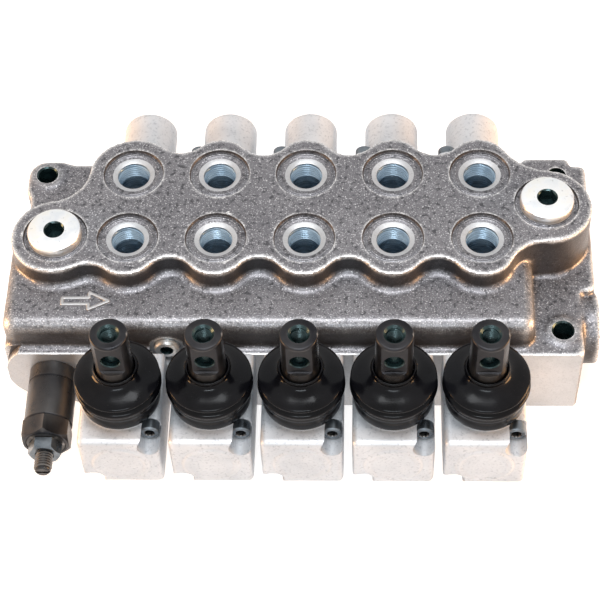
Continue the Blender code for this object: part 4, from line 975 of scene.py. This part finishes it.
def make_levers(black, shade):
    """Tongue, ball, shaft and stub turned in one, with flat, cross hole and thread."""
    base = PIVOT_Z - 20.0
    tongue = arc((0, base), 3.8, -math.pi / 2, math.radians(52), math.radians(12))
    ball_low = math.asin(2.3 / BALL_R) - math.pi / 2
    ball_high = math.pi / 2 - math.asin(3.7 / BALL_R)
    ball = arc((0, PIVOT_Z), BALL_R, ball_low, ball_high, math.radians(9))
    top = STUB_TOP_Z
    stub_base = PIVOT_Z + 17.5
    edge = arc((STUB_R - 0.9, top - 0.9), 0.9, 0.0, math.pi / 2, math.radians(22))
    profile = [(0, base - 3.8), *tongue[1:], *ball]
    profile.extend([(3.7, stub_base - 4), (6.9, stub_base - 0.4), (STUB_R, stub_base + 0.9)])
    profile.extend(edge)
    profile.extend([(4.7, top), (THREAD_R, top - 1.0), (THREAD_R, top - 17), (0, top - 18.5)])
    axis = (0, LEVER_Y, 0)
    lever = linked("lever_form", turned(profile, 64, at=axis))
    flat_top = top - 1.5
    flat = block((-12, -20, flat_top - 18.5), (12, -6.0, flat_top), 0.9, 3)
    cross = [(0, 0), (4.0, 0), (4.0, 5.6), (4.5, 6.1), (4.5, 12), (0, 12)]
    hole = turned(cross, 40, TURN_TO_FRONT, (0, LEVER_Y, top - 12.5), BORED)
    carved(lever, [placed(flat, None, axis), hole])
    # Faces of the threaded hole take the painted shade material
    for face in lever.data.polygons:
        centre = face.center / MM
        reach = math.hypot(centre.x, centre.y - LEVER_Y)
        if reach < THREAD_R + 0.6 and centre.z > top - 19 and face.normal.z < 0.9:
            face.material_index = BORED
    ridge = thread_ridge(THREAD_R, RIDGE_HEIGHT, FINE_PITCH, top - 16, top - 1.4, True, at=axis)
    thread = linked("lever_thread_form", ridge)
    for number, x in enumerate(COLUMNS, start=1):
        body = f"lever_arm_{number}"
        piece = copied(lever, f"lever_stub_{number}", (x, 0, 0))
        dressed(piece, (black, black, shade), body, [f"lever_{number}"], 30)
        piece = copied(thread, f"lever_thread_{number}", (x, 0, 0))
        dressed(piece, (shade,), body, angle=50)
    discard(lever, thread)


def boot_profile():
    """Bellows in section: lip on the stub, flared top, two rims and skirt on the neck."""
    lip = PIVOT_Z + 22.3
    foot = BOX_TOP + 1.2
    # Radius, and depth below the lip
    outside = [(8.5, 0), (9.3, 0), (9.7, 0.5), (9.7, 1.6), (9.4, 2.1), (9.8, 2.9), (11.2, 4.0)]
    outside += [(13.4, 5.0), (16.0, 5.9), (17.8, 6.8), (18.6, 7.3), (18.9, 7.9), (18.7, 8.5)]
    outside += [(17.6, 9.0), (16.6, 9.5), (16.5, 10.2), (17.7, 10.9), (18.9, 11.5), (19.2, 12.3)]
    outside += [(19.15, 13.3), (18.5, 14.0), (17.75, 14.6), (17.6, 16.4), (17.85, 16.9)]
    outside += [(17.6, 17.4), (17.6, 19.0), (17.85, 19.6)]
    inside = [(15.0, 11.4), (15.3, 9.9), (16.6, 8.4), (14.3, 7.2), (10.9, 6.2), (8.6, 4.6)]
    outside, inside = ([(r, lip - depth) for r, depth in side] for side in (outside, inside))
    foot_r = NECK_R + FIT
    skirt = [(17.75, foot + 0.5), (17.3, foot), (foot_r, foot), (foot_r, NECK_TOP + FIT)]
    return [*outside, *skirt, *inside]


def make_boots(rubber):
    """Bellows between the box's neck and the lever's stub."""
    for number, x in enumerate(COLUMNS, start=1):
        boot = linked(f"boot_bellows_{number}", turned(boot_profile(), 64, at=(x, LEVER_Y, 0)))
        boot.modifiers.new("round", "SUBSURF").levels = 1
        settled(boot)
        boot.data.materials.append(rubber)
        boot.data.shade_smooth()
        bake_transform(boot)
        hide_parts(f"boot_{number}")


# Rear caps

def make_rear_caps(materials):
    """Cast cups over the centring springs, each on a flange with two screws."""
    end = CAP_FOOT_Y + CAP_LENGTH
    cup = [(0, CAP_FOOT_Y - 2), (CAP_R + 0.4, CAP_FOOT_Y - 2), (CAP_R, end - 12)]
    cup.extend(arc((CAP_R - 4.0, end - 4.0), 4.0, 0.0, math.pi / 2, math.radians(12)))
    cup.append((0, end))
    flange = bmesh.new()
    for x, rise in ((0.0, 0.0), (-SCREW_X, SCREW_RISE), (SCREW_X, -SCREW_RISE)):
        radius = CAP_R + 0.6 if x == 0 else SCREW_HEAD_R + 1.2
        for px, pz in arc((x, SPOOL_Z + rise), radius, 0.0, 2 * math.pi, math.radians(12))[:-1]:
            for y in (CAP_FOOT_Y - 2, CAP_FOOT_Y + CAP_FLANGE):
                flange.verts.new((px, y, pz))
    bmesh.ops.convex_hull(flange, input=flange.verts)
    bmesh.ops.delete(flange, geom=[v for v in flange.verts if not v.link_faces], context="VERTS")
    bmesh.ops.recalc_face_normals(flange, faces=flange.faces)
    head = REAR_Y + 18.7
    hollow = stepped(CAP_FOOT_Y - 3, (10.5, head), (7.7, head + 11))
    cuts = [
        block((-30, CAP_FOOT_Y - 10, -10), (30, CAP_FOOT_Y, 70), finish=MACHINED),
        turned(hollow, 40, TURN_TO_Y, (0, 0, SPOOL_Z), MACHINED),
    ]
    forms = [turned(cup, 64, TURN_TO_Y, (0, 0, SPOOL_Z)), flange]
    make_die_casts("rear", "cap", forms, cuts, CAP_FOOT_Y + CAP_FLANGE, materials)


# Relief valve, plugs and spools

def make_relief_valve(black, dark):
    """Barrel, its hexagon, the lock nut and the slotted adjusting screw."""
    at = (RELIEF_X, FRONT_Y, SPOOL_Z)
    r = RELIEF_BODY_R
    hex_end = 37.5
    outside = [(0, -33), (7.2, -33), (8.7, -31.5), (8.7, FIT), (r, FIT), (r, 7.0)]
    outside.extend([(r - 0.25, 7.2), (r - 0.25, 7.9), (r, 8.1), (r, 27.4), (r - 0.6, 28.0)])
    outside.extend([(9.0, 28.2), (9.0, hex_end), (0, hex_end)])
    inside = [(0, -34), (2.5, -34), (2.5, -30), (5.6, -30), (5.6, 26)]
    inside.extend([(4.3, 27), (4.3, 39), (0, 39)])
    barrel = linked("relief_barrel", turned(outside, 64, TURN_TO_FRONT, at))
    carved(barrel, [turned(inside, 40, TURN_TO_FRONT, at, BORED)])
    dressed(barrel, (black,) * 3, "housing", ["relief_cartridge"], 28)
    corner_up = TURN_TO_FRONT @ Matrix.Rotation(math.radians(30), 3, "Z")
    form = prism(hexagon(RELIEF_HEX), 28.0, hex_end, turn=corner_up, at=at)
    hexed = linked("relief_hexagon", form)
    corner = RELIEF_HEX / math.sqrt(3)
    outer = [(r - 1.0, 20), (corner + 3, 20), (corner + 3, 40), (r - 0.9, 40), (r - 0.9, hex_end)]
    outer.extend([(corner + 0.2, hex_end - 1.6), (corner + 0.2, 29.0), (r - 0.6, 28.0)])
    carved(hexed, [turned(outer, 64, TURN_TO_FRONT, at), rod(8.6, 20, 40, 48, TURN_TO_FRONT, at)])
    dressed(hexed, (black,) * 3, "housing", angle=20)
    form = prism(hexagon(LOCK_NUT_HEX), hex_end + FIT, 43.4, turn=TURN_TO_FRONT, at=at)
    nut = linked("relief_nut", form)
    corner = LOCK_NUT_HEX / math.sqrt(3)
    ring = [(6.2, 43.5), (6.2, 46), (corner + 2, 46), (corner + 2, 41.1)]
    hole = rod(4.3, 30, 50, 40, TURN_TO_FRONT, at, BORED)
    carved(nut, [turned(ring, 64, TURN_TO_FRONT, at), hole])
    dressed(nut, (dark,) * 3, "housing", ["relief_lock_nut"], 20)
    tip, core = 52.0, 3.45
    stud = [(0, 14), (4.0, 14), (4.0, 26), (core, 26.5)]
    stud.extend([(core, tip - 0.7), (core - 0.7, tip), (0, tip)])
    screw = linked("relief_stud", turned(stud, 40, TURN_TO_FRONT, at))
    slot_form = block((-6, -0.65, tip - 2.0), (6, 0.65, tip + 2), finish=BORED)
    carved(screw, [placed(slot_form, TURN_TO_FRONT, at)])
    dressed(screw, (black,) * 3, "relief_screw", ["relief_adjusting_screw"])
    ridge = thread_ridge(core, 0.55, FINE_PITCH, 27.0, tip - 1.0, False, TURN_TO_FRONT, at, 40)
    thread = linked("relief_stud_thread", ridge)
    dressed(thread, (black,), "relief_screw", angle=50)


def make_check_plug(zinc, shade):
    """Small socket plug, set back in its notch."""
    at = (CHECK_X, 0, CHECK_Z)
    r = 5.7
    foot, face = -FRONT_Y - 11.7, -FRONT_Y - 2.6
    profile = [(0, foot), (r, foot), (r, face - 0.8), (r - 0.8, face), (0, face)]
    plug = linked("check_valve_plug", turned(profile, 48, TURN_TO_FRONT, at))
    carved(plug, socket(CHECK_PLUG_HEX, face - 4, face, TURN_TO_FRONT, at))
    dressed(plug, (zinc, shade, shade), "housing", ["check_plug"])


def make_port_plugs(zinc, shade):
    """Broad plugs in the top plate, with a socket each."""
    foot = FIT - SPOTFACE_DEPTH
    top = foot + 5.2
    shank = PORT_BORE_R - FIT
    r = PLUG_HEAD_R
    profile = [(0, foot - 12), (shank - 1, foot - 12), (shank, foot - 11), (shank, foot)]
    profile.extend([(r - 0.3, foot), (r, foot + 0.3), (r, top - 1.0), (r - 0.4, top - 0.3)])
    profile.extend([(r - 1.0, top), (0, top)])
    for node, (x, y) in zip(("pump_port_plug", "tank_port_plug"), PLUG_POINTS):
        plug = linked(f"{node}_zinc", turned(profile, 64, at=(x, y, BODY_HEIGHT)))
        carved(plug, socket(PORT_PLUG_HEX, top - 6.5, top, at=(x, y, BODY_HEIGHT)))
        dressed(plug, (zinc, shade, shade), "housing", [node])


def make_spools(steel):
    """Spools with their necks, and the flat and eye that take the lever's tongue."""
    grooves = ((-26.5, -11.7), (12.2, 25.1), (49.0, 56.0))
    for number, x in enumerate(COLUMNS, start=1):
        low, high = (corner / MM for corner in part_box(f"spool_{number}"))
        profile = [(0, low.y), (SPOOL_R - 0.4, low.y), (SPOOL_R, low.y + 0.4)]
        for start, end in grooves:
            profile.extend([(SPOOL_R, start), (4.8, start), (4.8, end), (SPOOL_R, end)])
        profile.extend([(SPOOL_R, high.y), (3.3, high.y), (3.3, high.y - 12), (0, high.y - 12)])
        spool = linked(f"spool_ground_{number}", turned(profile, 48, TURN_TO_Y, (x, 0, SPOOL_Z)))
        flat = block((x - 10, low.y - 1, SPOOL_Z + 4.5), (x + 10, LEVER_Y + 9, SPOOL_Z + 10))
        eye = rod(4.1, -4.1, 10, 32, at=(x, LEVER_Y, SPOOL_Z))
        carved(spool, [flat, eye])
        body = f"spool_assembly_{number}"
        dressed(spool, (steel,) * 3, body, [f"spool_{number}"])


def dress_cad_nodes(steel, seal):
    """Inner pieces that keep their CAD form."""
    for name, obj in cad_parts.items():
        if obj.hide_render:
            continue
        obj.data.materials.clear()
        obj.data.materials.append(seal if name.startswith("spool_wiper") else steel)
        obj.data.shade_smooth()
        obj.data.set_sharp_from_angle(angle=math.radians(40))


# Camera, floor and light

def make_camera():
    """Camera fitted to the photograph: a focal length of 1830 pixels in a frame of 600."""
    tilt, yaw, roll = math.radians(54.54), math.radians(3.94), math.radians(-3.15)
    level = math.cos(tilt)
    forward = Vector((-math.sin(yaw) * level, math.cos(yaw) * level, -math.sin(tilt)))
    across = Vector((math.cos(yaw), math.sin(yaw), 0.0))
    up = across.cross(forward)
    right = math.cos(roll) * across + math.sin(roll) * up
    top = -math.sin(roll) * across + math.cos(roll) * up
    data = bpy.data.cameras.new("camera")
    data.sensor_width = 36.0
    data.lens = data.sensor_width * 1830.0 / 600.0
    data.clip_start = 0.05
    data.clip_end = 20.0
    camera = shown("camera", data)
    turn = Matrix((right, top, -forward)).transposed()
    camera.matrix_world = Matrix.Translation((0.031, -0.500, 0.7235)) @ turn.to_4x4()
    bpy.context.scene.camera = camera


def seeing_rays(tree):
    """1 on the rays that see the background, 0 on those that light."""
    path = tree.nodes.new("ShaderNodeLightPath")
    seen = path.outputs["Is Camera Ray"]
    for kind in ("Is Transmission Ray", "Is Glossy Ray"):
        either = tree.nodes.new("ShaderNodeMath")
        either.operation = "MAXIMUM"
        tree.links.new(seen, either.inputs[0])
        tree.links.new(path.outputs[kind], either.inputs[1])
        seen = either.outputs["Value"]
    return seen


def make_floor():
    """Pale floor that is white to the eye and keeps the object's shadow."""
    bm = bmesh.new()
    bmesh.ops.create_grid(bm, x_segments=1, y_segments=1, size=3000.0)
    floor = linked("floor", bm)
    floor.location.z = -0.0002
    n = Nodes("floor_white", specular=0.1)
    n.shader.inputs["Base Color"].default_value = (0.86, 0.86, 0.86, 1.0)
    n.shader.inputs["Roughness"].default_value = 0.9
    n.shader.inputs["Emission Color"].default_value = (0.66, 0.66, 0.66, 1.0)
    n.tree.links.new(seeing_rays(n.tree), n.shader.inputs["Emission Strength"])
    floor.data.materials.append(n.material)


def area_light(name, location, size, power, colour):
    """Lamp aimed at the object, its place and size in metres."""
    data = bpy.data.lights.new(name, "AREA")
    data.shape = "RECTANGLE"
    data.size, data.size_y = size
    data.energy = power
    data.color = colour
    lamp = shown(name, data)
    lamp.location = location
    aim = Vector((0.0, 0.0, 0.04)) - Vector(location)
    lamp.rotation_euler = aim.to_track_quat("-Z", "Y").to_euler()


def make_light():
    """Weak sky before a white backdrop, a soft lamp above and warm ones at the ends."""
    scene = bpy.context.scene
    scene.view_settings.view_transform = "Standard"
    world = bpy.data.worlds.new("studio")
    scene.world = world
    world.use_nodes = True
    tree = world.node_tree
    lighting = tree.nodes["Background"]
    backdrop = tree.nodes.new("ShaderNodeBackground")
    for shader, strength in ((lighting, 0.14), (backdrop, 1.0)):
        shader.inputs["Color"].default_value = (1.0, 1.0, 1.0, 1.0)
        shader.inputs["Strength"].default_value = strength
    mix = tree.nodes.new("ShaderNodeMixShader")
    tree.links.new(seeing_rays(tree), mix.inputs[0])
    tree.links.new(lighting.outputs[0], mix.inputs[1])
    tree.links.new(backdrop.outputs[0], mix.inputs[2])
    tree.links.new(mix.outputs[0], tree.nodes["World Output"].inputs["Surface"])
    area_light("top_softbox", (0.0, -0.05, 0.95), (0.5, 0.35), 4.6, (0.94, 0.97, 1.0))
    area_light("left_warm", (-0.60, -0.07, 0.13), (0.28, 0.15), 4.0, (1.0, 0.54, 0.22))
    area_light("right_warm", (0.60, -0.07, 0.13), (0.28, 0.15), 4.0, (1.0, 0.55, 0.24))
    area_light("front_strip", (0.0, -0.75, 0.72), (0.5, 0.10), 2.7, (0.86, 0.94, 1.0))


def main():
    iron = iron_skin("iron_skin")
    machined = machined_iron()
    bored = bored_steel()
    black = black_steel()
    steel = ground_steel()
    zinc = zinc_plate()
    dark = dark_zinc()
    shade = socket_shade()
    make_camera()
    make_floor()
    make_light()
    make_casting(iron, machined, bored, iron_skin("faced_iron", painted_edge_highlight=0.0), shade)
    make_port_threads(bored)
    make_flow_arrow(machined)
    section_materials = (aluminium_skin(), machined_aluminium(), dark, black)
    make_lever_boxes(section_materials)
    make_levers(black, shade)
    make_boots(boot_rubber())
    make_rear_caps(section_materials)
    make_relief_valve(black, dark)
    make_check_plug(zinc, shade)
    make_port_plugs(zinc, shade)
    make_spools(steel)
    dress_cad_nodes(steel, seal_rubber())


main()
